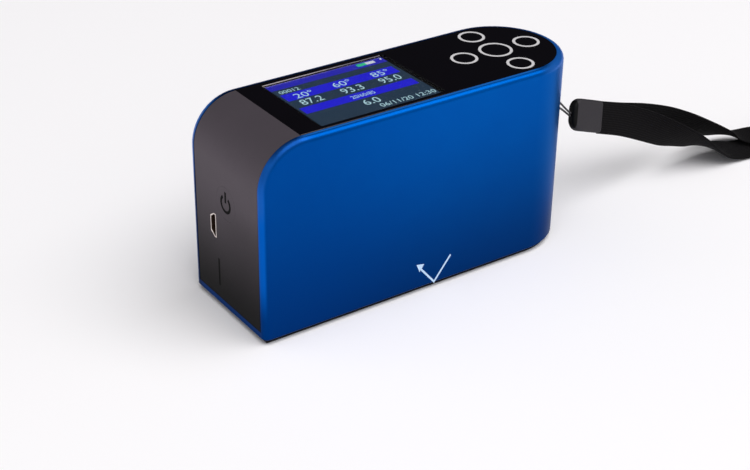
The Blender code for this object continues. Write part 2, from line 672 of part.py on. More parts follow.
def make_stack():
    for i, (x, y) in enumerate(PILLAR_PLACES, 1):
        make_pillars(i, x, y)
    holes = [circle(x, y, STACK_BORE, SMALL_STEPS) for x, y in PILLAR_PLACES]
    half_steps = ROUND_STEPS // 2
    slab("main_board", [plan_outline(BOARD_INSET, MAIN_BOARD_LEFT, half_steps)] + holes, BOARD_LEVEL,
         MAIN_BOARD_TOP, finish=board_green)
    slab("display_board", [plan_outline(BOARD_INSET, SPLIT_X + BOARD_GAP, half_steps)] + holes,
         DISPLAY_BOARD_BOTTOM, DISPLAY_BOARD_TOP, finish=board_green)
    outline = rounded_rectangle(BATTERY_LEFT, -BATTERY_HALF, BATTERY_RIGHT, BATTERY_HALF, BATTERY_CORNER)
    low = MAIN_BOARD_TOP + SEAT
    battery = slab("battery", [outline], low, low + BATTERY_HEIGHT, finish=battery_foil)
    bevel_edges(battery, lambda a, b, e: abs(a.normal.z) > 0.99 or abs(b.normal.z) > 0.99, BATTERY_EDGE, 2)
    smooth(battery)


# Top panel, display and touch keys
def make_top():
    left = SCREEN_LEFT - WINDOW_MARGIN
    right = SCREEN_RIGHT + WINDOW_MARGIN
    half = SCREEN_HALF + WINDOW_MARGIN
    opening = rounded_rectangle(left, -half, right, half, 0.8, 3)
    slab("top_panel", [plan_outline(WALL + PANEL_GAP, SPLIT_X + PANEL_GAP), opening],
         PANEL_UNDERSIDE, HEIGHT, finish=gloss_black)
    slab("display_window", [rounded_rectangle(left + SEAT, -half + SEAT, right - SEAT, half - SEAT, 0.7, 3)],
         PANEL_UNDERSIDE, HEIGHT - WINDOW_RECESS, finish=clear_glass)
    module_half = SCREEN_HALF + MODULE_BORDER_Y
    module = slab("display_module", [rounded_rectangle(
        SCREEN_LEFT - MODULE_BORDER_X, -module_half, SCREEN_RIGHT + MODULE_BORDER_X, module_half, 0.8, 3)],
        MODULE_BOTTOM, MODULE_TOP, finish=screen_blue)
    lit = box_outline((SCREEN_LEFT + SCREEN_RIGHT) / 2, 0, SCREEN_RIGHT - SCREEN_LEFT, 2 * SCREEN_HALF)
    face = slab("display_face", [lit], MODULE_TOP - FACE_RECESS, MODULE_TOP + 1)
    cut(module, face)
    for name, (x, y, radius) in KEY_PLACES.items():
        ring = slab(f"key_ring_{name}", [circle(x, y, radius, RING_STEPS),
                                         circle(x, y, radius - KEY_LINE, RING_STEPS)],
                    HEIGHT + PRINT_LIFT, HEIGHT + PRINT_LIFT + PRINT_THICKNESS, finish=print_grey)
        smooth(ring)
        rod(f"key_sensor_{name}", (x, y, DISPLAY_BOARD_TOP + SEAT), (0, 0, 1),
            PANEL_UNDERSIDE - DISPLAY_BOARD_TOP - 2 * SEAT, SENSOR_RADIUS, foam_black, SMALL_STEPS)


# Power button, its switch and the data socket on their upright board
def make_io():
    slab("io_board", [box_outline(0, (IO_BOARD_BOTTOM + IO_BOARD_TOP) / 2, 2 * IO_BOARD_HALF,
                                  IO_BOARD_TOP - IO_BOARD_BOTTOM)],
         IO_BOARD_LEFT, IO_BOARD_RIGHT, "YZ", board_green)
    make_power_switch()
    make_data_socket()


def make_power_switch():
    """The round key bears on a plunger that slides in the switch. Both move by the key's travel."""
    switch_face = IO_BOARD_LEFT - SEAT - SWITCH_DEPTH
    half = SWITCH_SIZE / 2
    body = slab("switch_body", [rounded_rectangle(-half, BUTTON_Z - half, half, BUTTON_Z + half,
                                                  SWITCH_CORNER, 3)],
                switch_face, switch_face + SWITCH_DEPTH, "YZ", sensor_black)
    pocket_depth = PLUNGER_HOLD + BUTTON_TRAVEL + SEAT
    cut(body, rod("switch_pocket", (switch_face - OVERRUN, 0, BUTTON_Z), (1, 0, 0), OVERRUN + pocket_depth,
                  PLUNGER_RADIUS + SEAT))
    plunger_length = PLUNGER_REACH + PLUNGER_HOLD
    crown = PLUNGER_RADIUS * 0.2
    plunger = turned("switch_plunger", [(0, plunger_length), (PLUNGER_RADIUS, plunger_length),
                                        (PLUNGER_RADIUS, crown), (PLUNGER_RADIUS - crown, 0), (0, 0)],
                     lamp_white)
    aim(plunger, (switch_face - PLUNGER_REACH, 0, BUTTON_Z), (1, 0, 0))
    flange = SKIN + FIT
    flange_radius = BUTTON_RADIUS + BUTTON_FLANGE
    stem_end = switch_face - PLUNGER_REACH - SEAT + HALF
    button = turned("power_button", [
        (0, stem_end), (STEM_RADIUS, stem_end), (STEM_RADIUS, flange + BUTTON_FLANGE_HEIGHT),
        (flange_radius, flange + BUTTON_FLANGE_HEIGHT), (flange_radius, flange), (BUTTON_RADIUS, flange),
        (BUTTON_RADIUS, BUTTON_EDGE), (BUTTON_RADIUS - BUTTON_EDGE, 0), (0, 0)], grey_plastic, BUTTON_STEPS)
    aim(button, (-HALF, 0, BUTTON_Z), (1, 0, 0))
    smooth(button)


def make_data_socket():
    """A folded metal shell, open at the cover, with a plastic tongue inside."""
    back = IO_BOARD_LEFT - SEAT
    shell = slab("usb_shell", [socket_outline(0)], -HALF, back, "YZ", steel)
    mouth = socket_outline(-SOCKET_SHEET)
    cut(shell, slab("usb_mouth", [mouth], -HALF - OVERRUN, back - SOCKET_SHEET, "YZ"))
    slab("usb_tongue", [box_outline(SOCKET_Y, SOCKET_Z, TONGUE_THICK, TONGUE_LENGTH)],
         -HALF + TONGUE_SETBACK, back - SOCKET_SHEET - SEAT, "YZ", black_plastic)


# Optics block: each outer face stands square to its beam
def beam_direction(angle):
    a = math.radians(angle)
    return Vector((math.sin(a), 0, math.cos(a)))


def block_outline():
    """Corners where the neighbouring faces of the block meet."""
    faces = [(angle, REACH[angle]) for angle in (LOW, MIDDLE, STEEP)]
    faces += [(0, BLOCK_TOP)]
    faces += [(-angle, REACH[angle]) for angle in (STEEP, MIDDLE, LOW)]
    faces += [(180, -BLOCK_BOTTOM)]
    corners = []
    for (a, reach_a), (b, reach_b) in zip(faces, faces[1:] + faces[:1]):
        normals = Matrix(((math.sin(math.radians(a)), math.cos(math.radians(a))),
                          (math.sin(math.radians(b)), math.cos(math.radians(b)))))
        corner = normals.inverted() @ Vector((reach_a, reach_b))
        corners.append((SPOT_X + corner.x, corner.y))
    return corners


def make_optics():
    block = slab("optics_block", [block_outline()], -BLOCK_HALF, BLOCK_HALF, "XZ", black_plastic)
    cut(block, slab("measuring_chamber", [aperture_outline()], -OVERRUN, BLOCK_BOTTOM + CHAMBER_DEPTH))
    spot = Vector((SPOT_X, 0, 0))
    for angle, reach in REACH.items():
        shoulder = reach - SEAT_DEPTH
        lens_radius = SEAT_RADIUS[angle] - SEAT
        rear = shoulder + SEAT + LENS_THICKNESS + SEAT
        for side, lens_name, rear_name in ((1, "source_lens", "lamp"), (-1, "receiver_lens", "detector")):
            way = beam_direction(side * angle)
            bore_radius = SEAT_RADIUS[angle] - BORE_LEDGE[angle]
            cut(block, rod(f"{lens_name}_{angle}_bore", spot, way, reach, bore_radius),
                rod(f"{lens_name}_{angle}_seat", spot + way * shoulder, way, SEAT_DEPTH + OVERRUN,
                    SEAT_RADIUS[angle]))
            lens = turned(f"{lens_name}_{angle}", lens_profile(lens_radius), lens_glass)
            aim(lens, spot + way * (shoulder + SEAT), way)
            smooth(lens, 40)
            make_rear(f"{rear_name}_{angle}", spot + way * rear, way, lens_radius, reach - rear, side > 0)


def lens_profile(radius):
    """Flat toward the spot and domed toward the lamp or detector."""
    sphere = (radius ** 2 + LENS_SAG ** 2) / (2 * LENS_SAG)
    points = []
    rings = 3
    for i in range(rings + 1):
        r = radius * i / rings
        points.append((r, LENS_THICKNESS - sphere + math.sqrt(sphere ** 2 - r ** 2)))
    return points + [(radius, 0), (0, 0)]


def make_rear(name, start, way, radius, length, is_lamp):
    """A lamp with a round rim, or a detector with a square one, behind its lens."""
    rim = radius + LAMP_FLANGE
    top = length + SEAT
    if is_lamp:
        made = turned(name, [(0, top + LAMP_FLANGE_HEIGHT), (rim, top + LAMP_FLANGE_HEIGHT), (rim, top),
                             (radius, top), (radius, LENS_SAG), (radius * 0.6, LENS_SAG), (0, 0.1)],
                      lamp_white)
        aim(made, start, way)
        smooth(made)
        return
    crown = top + LAMP_FLANGE_HEIGHT + DETECTOR_CROWN
    made = turned(name, [(0, crown), (radius, crown), (radius, 0), (radius * 0.7, 0),
                         (radius * 0.7, 0.6), (0, 0.6)], sensor_black)
    plate = slab(f"{name}_rim", [rounded_rectangle(-rim, -rim, rim, rim, 0.5, 2)],
                 top, top + LAMP_FLANGE_HEIGHT)
    cut(made, plate, operation="UNION")
    settle(made)
    aim(made, start, way)
    smooth(made)


# Wrist strap: cord loop, moulded sleeve and webbing
def smooth_route(points, per_span):
    """Points of a Catmull-Rom curve through the route's own points."""
    points = [Vector(p) for p in points]
    ends = [points[0] * 2 - points[1]] + points + [points[-1] * 2 - points[-2]]
    result = []
    for p0, p1, p2, p3 in zip(ends, ends[1:], ends[2:], ends[3:]):
        for i in range(per_span):
            t = i / per_span
            result.append(0.5 * (2 * p1 + (p2 - p0) * t + (2 * p0 - 5 * p1 + 4 * p2 - p3) * t ** 2
                                 + (3 * p1 - p0 - 3 * p2 + p3) * t ** 3))
    result.append(points[-1])
    return result


def make_cord():
    curve = bpy.data.curves.new("strap_cord", "CURVE")
    curve.dimensions = "3D"
    curve.bevel_depth = CORD_DIAMETER / 2 * MM
    curve.bevel_resolution = 2
    curve.use_fill_caps = True
    spline = curve.splines.new("POLY")
    route = smooth_route(CORD_ROUTE, 2)
    spline.points.add(len(route) - 1)
    for point, place in zip(spline.points, route):
        point.co = (*(place * MM), 1)
    made = bpy.data.objects.new("strap_cord", curve)
    curve.materials.append(cord_black)
    parts.objects.link(made)
    made.parent = body_centre


def make_sleeve():
    along = (SLEEVE_END - SLEEVE_START).normalized()
    upright = (Vector((0, 0, 1)) - along * along.z).normalized()
    across = upright.cross(along)
    lean = math.radians(SLEEVE_LEAN)
    width = upright * math.cos(lean) + across * math.sin(lean)
    normal = along.cross(width)
    length = (SLEEVE_END - SLEEVE_START).length
    half = SLEEVE_WIDTH / 2
    outline = arc(SLEEVE_END_RADIUS, half - SLEEVE_END_RADIUS, SLEEVE_END_RADIUS, 90, 180, 6)
    outline += arc(SLEEVE_END_RADIUS, -half + SLEEVE_END_RADIUS, SLEEVE_END_RADIUS, 180, 270, 6)
    outline += [(length, -half), (length, half)]
    made = slab("strap_sleeve", [outline], -SLEEVE_THICKNESS / 2, SLEEVE_THICKNESS / 2, finish=sleeve_grey)
    bevel_edges(made, lambda a, b, e: abs(a.normal.z) > 0.99 or abs(b.normal.z) > 0.99, 1.2, 3)
    turn = Matrix((along, width, normal)).transposed().to_4x4()
    made.matrix_world = Matrix.Translation(SLEEVE_START * MM) @ turn
    smooth(made)


def make_webbing():
    curve = bpy.data.curves.new("strap_webbing", "CURVE")
    curve.dimensions = "3D"
    curve.twist_mode = "Z_UP"
    curve.extrude = WEBBING_WIDTH / 2 * MM
    spline = curve.splines.new("POLY")
    places = smooth_route([p[:3] for p in WEBBING_ROUTE], 3)
    leans = smooth_route([(p[3], 0, 0) for p in WEBBING_ROUTE], 3)
    spline.points.add(len(places) - 1)
    for point, place, lean in zip(spline.points, places, leans):
        point.co = (*(place * MM), 1)
        point.tilt = math.radians(-lean.x)
    guide = bpy.data.objects.new("strap_webbing_line", curve)
    bpy.context.scene.collection.objects.link(guide)
    mesh = evaluated_mesh(guide)
    bpy.data.objects.remove(guide)
    made = add_object("strap_webbing", mesh, cord_black)
    thick = made.modifiers.new("thickness", "SOLIDIFY")
    thick.thickness = WEBBING_THICKNESS * MM
    thick.offset = 0
    thick.use_even_offset = True
    smooth(made)


make_casing()
make_end_cover()
make_base()
make_stack()
make_top()
make_io()
make_optics()
make_cord()
make_sleeve()
make_webbing()
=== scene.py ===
# Looks of the handheld gloss meter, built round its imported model
import json
import math

import bmesh
import bpy
from mathutils import Matrix, Vector

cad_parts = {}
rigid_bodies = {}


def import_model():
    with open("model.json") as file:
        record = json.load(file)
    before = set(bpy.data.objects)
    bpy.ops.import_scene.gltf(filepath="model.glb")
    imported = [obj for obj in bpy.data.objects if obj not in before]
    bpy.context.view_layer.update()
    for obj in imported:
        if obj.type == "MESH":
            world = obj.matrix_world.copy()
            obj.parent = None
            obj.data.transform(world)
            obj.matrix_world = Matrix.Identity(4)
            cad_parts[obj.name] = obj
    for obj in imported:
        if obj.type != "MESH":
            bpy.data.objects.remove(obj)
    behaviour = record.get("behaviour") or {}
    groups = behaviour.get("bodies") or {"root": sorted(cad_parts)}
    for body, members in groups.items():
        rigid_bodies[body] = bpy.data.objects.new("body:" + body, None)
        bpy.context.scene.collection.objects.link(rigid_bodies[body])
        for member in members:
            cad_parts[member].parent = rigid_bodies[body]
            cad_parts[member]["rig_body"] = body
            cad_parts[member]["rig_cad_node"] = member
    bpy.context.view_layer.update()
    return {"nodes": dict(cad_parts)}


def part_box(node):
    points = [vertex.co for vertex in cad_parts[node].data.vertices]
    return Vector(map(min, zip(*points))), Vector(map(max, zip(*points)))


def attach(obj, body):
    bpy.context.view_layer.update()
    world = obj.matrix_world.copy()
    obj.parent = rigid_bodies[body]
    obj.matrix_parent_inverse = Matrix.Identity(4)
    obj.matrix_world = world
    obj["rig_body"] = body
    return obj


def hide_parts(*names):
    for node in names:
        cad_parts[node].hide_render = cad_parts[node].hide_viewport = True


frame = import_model()
nodes = frame["nodes"]
mm = 0.001  # sizes below are in millimetres
weld, fineWeld = 1e-6, 1e-7  # points this close, in metres, are one
print("frame loaded:", len(nodes), "nodes")


# Small helpers
def hexColor(code):  # sRGB hex to the linear values that a node takes
    values = [int(code[i:i + 2], 16) / 255 for i in (1, 3, 5)]
    return (*[c / 12.92 if c <= 0.04045 else ((c + 0.055) / 1.055) ** 2.4 for c in values], 1.0)


def per(size):  # texture scale for features of this many millimetres
    return 1 / (size * mm)


def place(point):
    return Vector(point) * mm


def addNode(tree, kind, settings=None, inputs=None):  # a socket given as a value is linked
    node = tree.nodes.new(kind)
    for key, value in (settings or {}).items():
        setattr(node, key, value)
    for key, value in (inputs or {}).items():
        if isinstance(value, bpy.types.NodeSocket):
            tree.links.new(value, node.inputs[key])
        else:
            node.inputs[key].default_value = value
    return node


def newFinish(name, values):
    made = bpy.data.materials.new(name)
    made.use_nodes = True
    shader = made.node_tree.nodes["Principled BSDF"]
    for key, value in values.items():
        shader.inputs[key].default_value = value
    return made, made.node_tree, shader


def deselect():
    if bpy.context.mode != "OBJECT":
        bpy.ops.object.mode_set(mode="OBJECT")
    bpy.ops.object.select_all(action="DESELECT")


def pick(piece):  # the only selected and active object
    deselect()
    piece.select_set(True)
    bpy.context.view_layer.objects.active = piece


def settle(piece):  # place, turn and size go into the mesh
    pick(piece)
    bpy.ops.object.transform_apply(location=True, rotation=True, scale=True)


def applyAll(piece):
    pick(piece)
    for step in list(piece.modifiers):
        bpy.ops.object.modifier_apply(modifier=step.name)


def fitOut(piece, finish, body):  # finish and body of a new piece
    if finish is not None:
        piece.data.materials.clear()
        piece.data.materials.append(finish)
    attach(piece, body)


def copyNode(node, name, flatAngle=0.2):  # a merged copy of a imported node, with its flat faces whole again
    piece = nodes[node].copy()
    piece.data = nodes[node].data.copy()
    piece.parent = None
    piece.name = name
    piece.data.name = name
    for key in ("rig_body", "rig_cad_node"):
        del piece[key]
    bpy.context.scene.collection.objects.link(piece)
    pick(piece)
    bpy.ops.mesh.customdata_custom_splitnormals_clear()
    bpy.ops.object.mode_set(mode="EDIT")
    bpy.ops.mesh.select_all(action="SELECT")
    bpy.ops.mesh.remove_doubles(threshold=weld)
    bpy.ops.mesh.dissolve_limited(angle_limit=math.radians(flatAngle))
    bpy.ops.object.mode_set(mode="OBJECT")
    return piece


def softenEdges(piece, width, segments=2, angle=40):  # a small bevel that catches the light
    step = piece.modifiers.new("edges", "BEVEL")
    step.width = width * mm
    step.segments = segments
    step.limit_method = "ANGLE"
    step.angle_limit = math.radians(angle)
    step.use_clamp_overlap = True
    applyAll(piece)


def smoothFaces(piece, angle=35):
    pick(piece)
    bpy.ops.object.shade_smooth_by_angle(angle=math.radians(angle))
    step = piece.modifiers.new("normals", "WEIGHTED_NORMAL")
    step.keep_sharp = True
    applyAll(piece)


def smoothRoute(points, perSpan):  # a Catmull-Rom curve through the points
    points = [Vector(p) for p in points]
    ends = [points[0] * 2 - points[1]] + points + [points[-1] * 2 - points[-2]]
    result = []
    for p0, p1, p2, p3 in zip(ends, ends[1:], ends[2:], ends[3:]):
        for i in range(perSpan):
            t = i / perSpan
            result.append(0.5 * (2 * p1 + (p2 - p0) * t + (2 * p0 - 5 * p1 + 4 * p2 - p3) * t ** 2
                                 + (3 * p1 - p0 - 3 * p2 + p3) * t ** 3))
    result.append(points[-1])
    return result


def routeLength(points):
    return sum((b - a).length for a, b in zip(points, points[1:]))


def loft(name, rings):  # a closed tube through rings of points, its UV map in millimetres
    count = len(rings[0])
    verts = [p * mm for ring in rings for p in ring]
    faces = []
    for r in range(len(rings) - 1):
        for i in range(count):
            j = (i + 1) % count
            faces.append((r * count + i, r * count + j, (r + 1) * count + j, (r + 1) * count + i))
    faces.append(tuple(reversed(range(count))))
    faces.append(tuple(range((len(rings) - 1) * count, len(rings) * count)))
    mesh = bpy.data.meshes.new(name)
    mesh.from_pydata(verts, [], faces)
    around = [0.0]
    for a, b in zip(rings[0], rings[0][1:] + rings[0][:1]):
        around.append(around[-1] + (b - a).length)
    along = [0.0]
    for a, b in zip(rings, rings[1:]):
        along.append(along[-1] + (sum(b, Vector()) - sum(a, Vector())).length / count)
    uv = mesh.uv_layers.new(name="UVMap").data
    for index in range(len(rings) - 1):
        for i in range(count):
            first = 4 * (index * count + i)
            corners = [(around[i], along[index]), (around[i + 1], along[index]),
                       (around[i + 1], along[index + 1]), (around[i], along[index + 1])]
            for k, corner in enumerate(corners):
                uv[first + k].uv = corner
    piece = bpy.data.objects.new(name, mesh)
    bpy.context.scene.collection.objects.link(piece)
    pick(piece)
    bpy.ops.object.mode_set(mode="EDIT")
    bpy.ops.mesh.select_all(action="SELECT")
    bpy.ops.mesh.normals_make_consistent(inside=False)
    bpy.ops.object.mode_set(mode="OBJECT")
    return piece


# Camera: place and turn solved from the photo's edges
camera = {"place": (-295.7, -409.0, 299.5), "yaw": 35.13, "pitch": 29.77, "roll": 0.93, "focal": 75.03}


def addCamera(settings):
    yaw, pitch, roll = (math.radians(settings[k]) for k in ("yaw", "pitch", "roll"))
    forward = Vector((math.sin(yaw) * math.cos(pitch), math.cos(yaw) * math.cos(pitch), -math.sin(pitch)))
    level = Vector((math.cos(yaw), -math.sin(yaw), 0))
    upright = level.cross(forward)
    right = level * math.cos(roll) + upright * math.sin(roll)
    up = upright * math.cos(roll) - level * math.sin(roll)
    data = bpy.data.cameras.new("photoCamera")
    data.lens = settings["focal"]
    data.sensor_width = 36  # full frame
    data.clip_start = 0.01  # metres
    data.clip_end = 50
    made = bpy.data.objects.new("photoCamera", data)
    made.location = place(settings["place"])
    made.rotation_euler = Matrix((right, up, -forward)).transposed().to_euler()
    bpy.context.scene.collection.objects.link(made)
    bpy.context.scene.camera = made


addCamera(camera)

# Finishes: each is named for the real stuff and says what that gives the eye; a few also carry painted
# highlights and shade, and say so
noiseSpan = (0.3, 0.7)  # most of a noise lies between these
hardRelief, clothRelief = 0.5, 0.7  # share of a relief's full height that the eye gets


def layered(name, look):  # two tones in soft patches, a roughness that wanders, a fine relief
    made, tree, shader = newFinish(name, look["values"])
    spot = addNode(tree, "ShaderNodeTexCoord").outputs["Object"]
    patches = addNode(tree, "ShaderNodeTexNoise", None,
                      {"Vector": spot, "Scale": per(look["patch"]), "Detail": 4.0, "Roughness": 0.6})
    tones = addNode(tree, "ShaderNodeMix", {"data_type": "RGBA"},
                    {0: patches.outputs["Fac"], 6: hexColor(look["tones"][0]), 7: hexColor(look["tones"][1])})
    stretch = addNode(tree, "ShaderNodeMapping", None,
                      {"Vector": spot, "Scale": look.get("stretch", (1, 1, 1))})
    grain = addNode(tree, "ShaderNodeTexNoise", None,
                    {"Vector": stretch.outputs["Vector"], "Scale": per(look["grain"]), "Detail": 3.0})
    sheen = addNode(tree, "ShaderNodeMapRange", None,
                    {"Value": grain.outputs["Fac"], "From Min": noiseSpan[0], "From Max": noiseSpan[1],
                     "To Min": look["rough"][0], "To Max": look["rough"][1]})
    relief = addNode(tree, "ShaderNodeBump", None,
                     {"Height": grain.outputs["Fac"], "Strength": hardRelief,
                      "Distance": look["relief"] * mm})
    tree.links.new(tones.outputs[2], shader.inputs["Base Color"])
    tree.links.new(sheen.outputs["Result"], shader.inputs["Roughness"])
    tree.links.new(relief.outputs["Normal"], shader.inputs["Normal"])
    return made


looks = {
    # bead blasted, then dyed: a soft even sheen and no mirror images
    "blue anodised aluminium": {
        "values": {"Metallic": 1.0, "Specular Tint": hexColor("#ccd6f2")},
        "tones": ("#0052aa", "#0058b0"), "patch": 9,
        "grain": 0.14, "rough": (0.30, 0.40), "relief": 0.012},
    # ABS moulded in a spark eroded tool: satin, a fine sandy texture that breaks every highlight
    "spark textured grey moulding": {
        "values": {"Specular IOR Level": 0.05}, "tones": ("#575057", "#5b545b"), "patch": 12,
        "grain": 0.22, "rough": (0.42, 0.55), "relief": 0.02},
    # glass filled nylon: dull, with a soft sheen only along its edges
    "black glass filled moulding": {
        "values": {"Specular IOR Level": 0.15}, "tones": ("#0c0b0d", "#121113"), "patch": 8,
        "grain": 0.3, "rough": (0.5, 0.65), "relief": 0.03},
    # turned steel: fine rings break the highlight on the head
    "stainless screw steel": {
        "values": {"Metallic": 1.0}, "tones": ("#a8a6a3", "#b8b5b1"), "patch": 2,
        "grain": 0.12, "rough": (0.25, 0.4), "relief": 0.01},
    # cast acrylic, polished: deep black, a mirror shine and faint wipe marks
    "polished black acrylic": {
        "values": {"IOR": 1.49, "Specular IOR Level": 0.3}, "tones": ("#060509", "#09070d"), "patch": 15,
        "grain": 3.0, "rough": (0.04, 0.10), "relief": 0.002, "stretch": (1, 0.3, 1)},
    # matt black, so that nothing shows round the picture
    "display frame plastic": {
        "values": {"Specular IOR Level": 0.2}, "tones": ("#08080b", "#0b0b0f"), "patch": 5,
        "grain": 0.3, "rough": (0.5, 0.6), "relief": 0.01},
    # screen printed: matt and a little uneven beside the gloss round it
    "pale screen print ink": {
        "values": {}, "tones": ("#c6c4c6", "#cecbce"), "patch": 2,
        "grain": 0.08, "rough": (0.5, 0.65), "relief": 0.006},
    # open cells: dark grey with no shine at all
    "conductive foam": {
        "values": {}, "tones": ("#2b2b2d", "#3a3a3c"), "patch": 0.6,
        "grain": 0.25, "rough": (0.8, 0.95), "relief": 0.08},
    # laminated foil pouch: creases throw broken bright patches
    "foil wrapped battery": {
        "values": {"Metallic": 0.7}, "tones": ("#9a9ca3", "#a9abb0"), "patch": 6,
        "grain": 0.5, "rough": (0.28, 0.42), "relief": 0.05},
    # turned on a lathe: warm shine with fine lines round it
    "turned brass": {
        "values": {"Metallic": 1.0}, "tones": ("#b9975a", "#c7a667"), "patch": 3,
        "grain": 0.1, "rough": (0.25, 0.38), "relief": 0.01, "stretch": (1, 1, 6)},
    # milled, then dyed black: swallows stray light, a dull sheen on the flats
    "black anodised optics block": {
        "values": {"Metallic": 0.6}, "tones": ("#1c1c1f", "#242428"), "patch": 6,
        "grain": 0.15, "rough": (0.45, 0.6), "relief": 0.02},
    # cast resin: smooth, half clear, a milky glow inside
    "lamp epoxy": {
        "values": {"IOR": 1.53, "Transmission Weight": 0.5}, "tones": ("#e8e4cf", "#f0ecd8"), "patch": 2,
        "grain": 0.5, "rough": (0.08, 0.15), "relief": 0.002},
    # pressed and gold plated: small hard highlights
    "detector can": {
        "values": {"Metallic": 1.0}, "tones": ("#c2b48c", "#cfc19a"), "patch": 2,
        "grain": 0.2, "rough": (0.2, 0.32), "relief": 0.005},
    # machined acetal: waxy white that lets a little light in
    "white acetal": {
        "values": {"Subsurface Weight": 0.05}, "tones": ("#dcdad2", "#e6e4dc"), "patch": 2,
        "grain": 0.2, "rough": (0.35, 0.45), "relief": 0.01},
    # small moulded case: plain satin black
    "black switch moulding": {
        "values": {}, "tones": ("#1d1d1f", "#242426"), "patch": 2,
        "grain": 0.15, "rough": (0.45, 0.6), "relief": 0.015},
    # drawn shell: warm grey shine, fine marks along the draw
    "nickel plated steel": {
        "values": {"Metallic": 1.0}, "tones": ("#d6cbc6", "#e2d8d3"), "patch": 2,
        "grain": 0.25, "rough": (0.3, 0.42), "relief": 0.008, "stretch": (0.2, 1, 1)},
    # moulded insert in the shade of the throat: brownish black; the same finish is painted shade on the metal
    # inside the throat
    "black socket insert": {
        "values": {"Specular IOR Level": 0.2}, "tones": ("#2a1d16", "#33241b"), "patch": 1.5,
        "grain": 0.1, "rough": (0.45, 0.6), "relief": 0.01},
    # end of the sleeve, darker than the rest: smooth near black
    "black vinyl end": {
        "values": {"Specular IOR Level": 0.12}, "tones": ("#040405", "#080809"), "patch": 3,
        "grain": 0.35, "rough": (0.5, 0.6), "relief": 0.03},
    # soft vinyl moulded round the band: dull grey, a leathery grain
    "soft moulded vinyl": {
        "values": {"Specular IOR Level": 0.3}, "tones": ("#28252a", "#2d2a2e"), "patch": 5,
        "grain": 0.35, "rough": (0.5, 0.65), "relief": 0.04},
    # painted highlight: one thin grey line on the panel along its front edge, where the cut edge catches the
    # light
    "polished panel edge": {
        "values": {"Specular IOR Level": 0.3}, "tones": ("#5e5a5f", "#6a666b"), "patch": 3,
        "grain": 0.2, "rough": (0.3, 0.4), "relief": 0.004},
    # painted highlight: a pale line on the back wall of the recess, for the light piped by the cut edge of
    # the clear sheet
    "polished recess wall": {
        "values": {}, "tones": ("#cbbdba", "#d6cac6"), "patch": 4,
        "grain": 0.2, "rough": (0.3, 0.4), "relief": 0.004},
    # pad printed on the dyed face: pale blue, matt
    "light blue mark ink": {
        "values": {}, "tones": ("#b9d6f5", "#c3def8"), "patch": 2,
        "grain": 0.08, "rough": (0.4, 0.5), "relief": 0.004},
    # pad printed: flat black that takes no light; the same finish is the painted shade laid in the slot
    "black mark ink": {
        "values": {"Specular IOR Level": 0.05}, "tones": ("#020202", "#060506"), "patch": 2,
        "grain": 0.08, "rough": (0.6, 0.7), "relief": 0.004},
}
finish = {name: layered(name, look) for name, look in looks.items()}


# Painted light and shade: another tone mixed into the base colour where the ramps meet
def paintLightAndShade(made, shade):  # another tone where all the ramps meet; metal may give way there too
    tree = made.node_tree
    shader = tree.nodes["Principled BSDF"]
    tone = shader.inputs["Base Color"].links[0].from_socket
    spot = addNode(tree, "ShaderNodeTexCoord").outputs["Object"]
    split = addNode(tree, "ShaderNodeSeparateXYZ", None, {"Vector": spot})
    level = shade["share"]
    for axis, start, end in shade["reach"]:  # nothing at the start, all of it at the end
        ramp = addNode(tree, "ShaderNodeMapRange", {"interpolation_type": "SMOOTHSTEP"},
                       {"Value": split.outputs[axis], "From Min": start * mm, "From Max": end * mm})
        both = addNode(tree, "ShaderNodeMath", {"operation": "MULTIPLY"},
                       {0: level, 1: ramp.outputs["Result"]})
        level = both.outputs["Value"]
    mixed = addNode(tree, "ShaderNodeMix", {"data_type": "RGBA"},
                    {0: level, 6: tone, 7: hexColor(shade["color"])})
    tree.links.new(mixed.outputs[2], shader.inputs["Base Color"])
    if "metal" in shade:
        links = shader.inputs["Metallic"].links
        before = links[0].from_socket if links else shader.inputs["Metallic"].default_value
        metal = addNode(tree, "ShaderNodeMix", None, {0: level, 2: before, 3: shade["metal"]})
        tree.links.new(metal.outputs[0], shader.inputs["Metallic"])
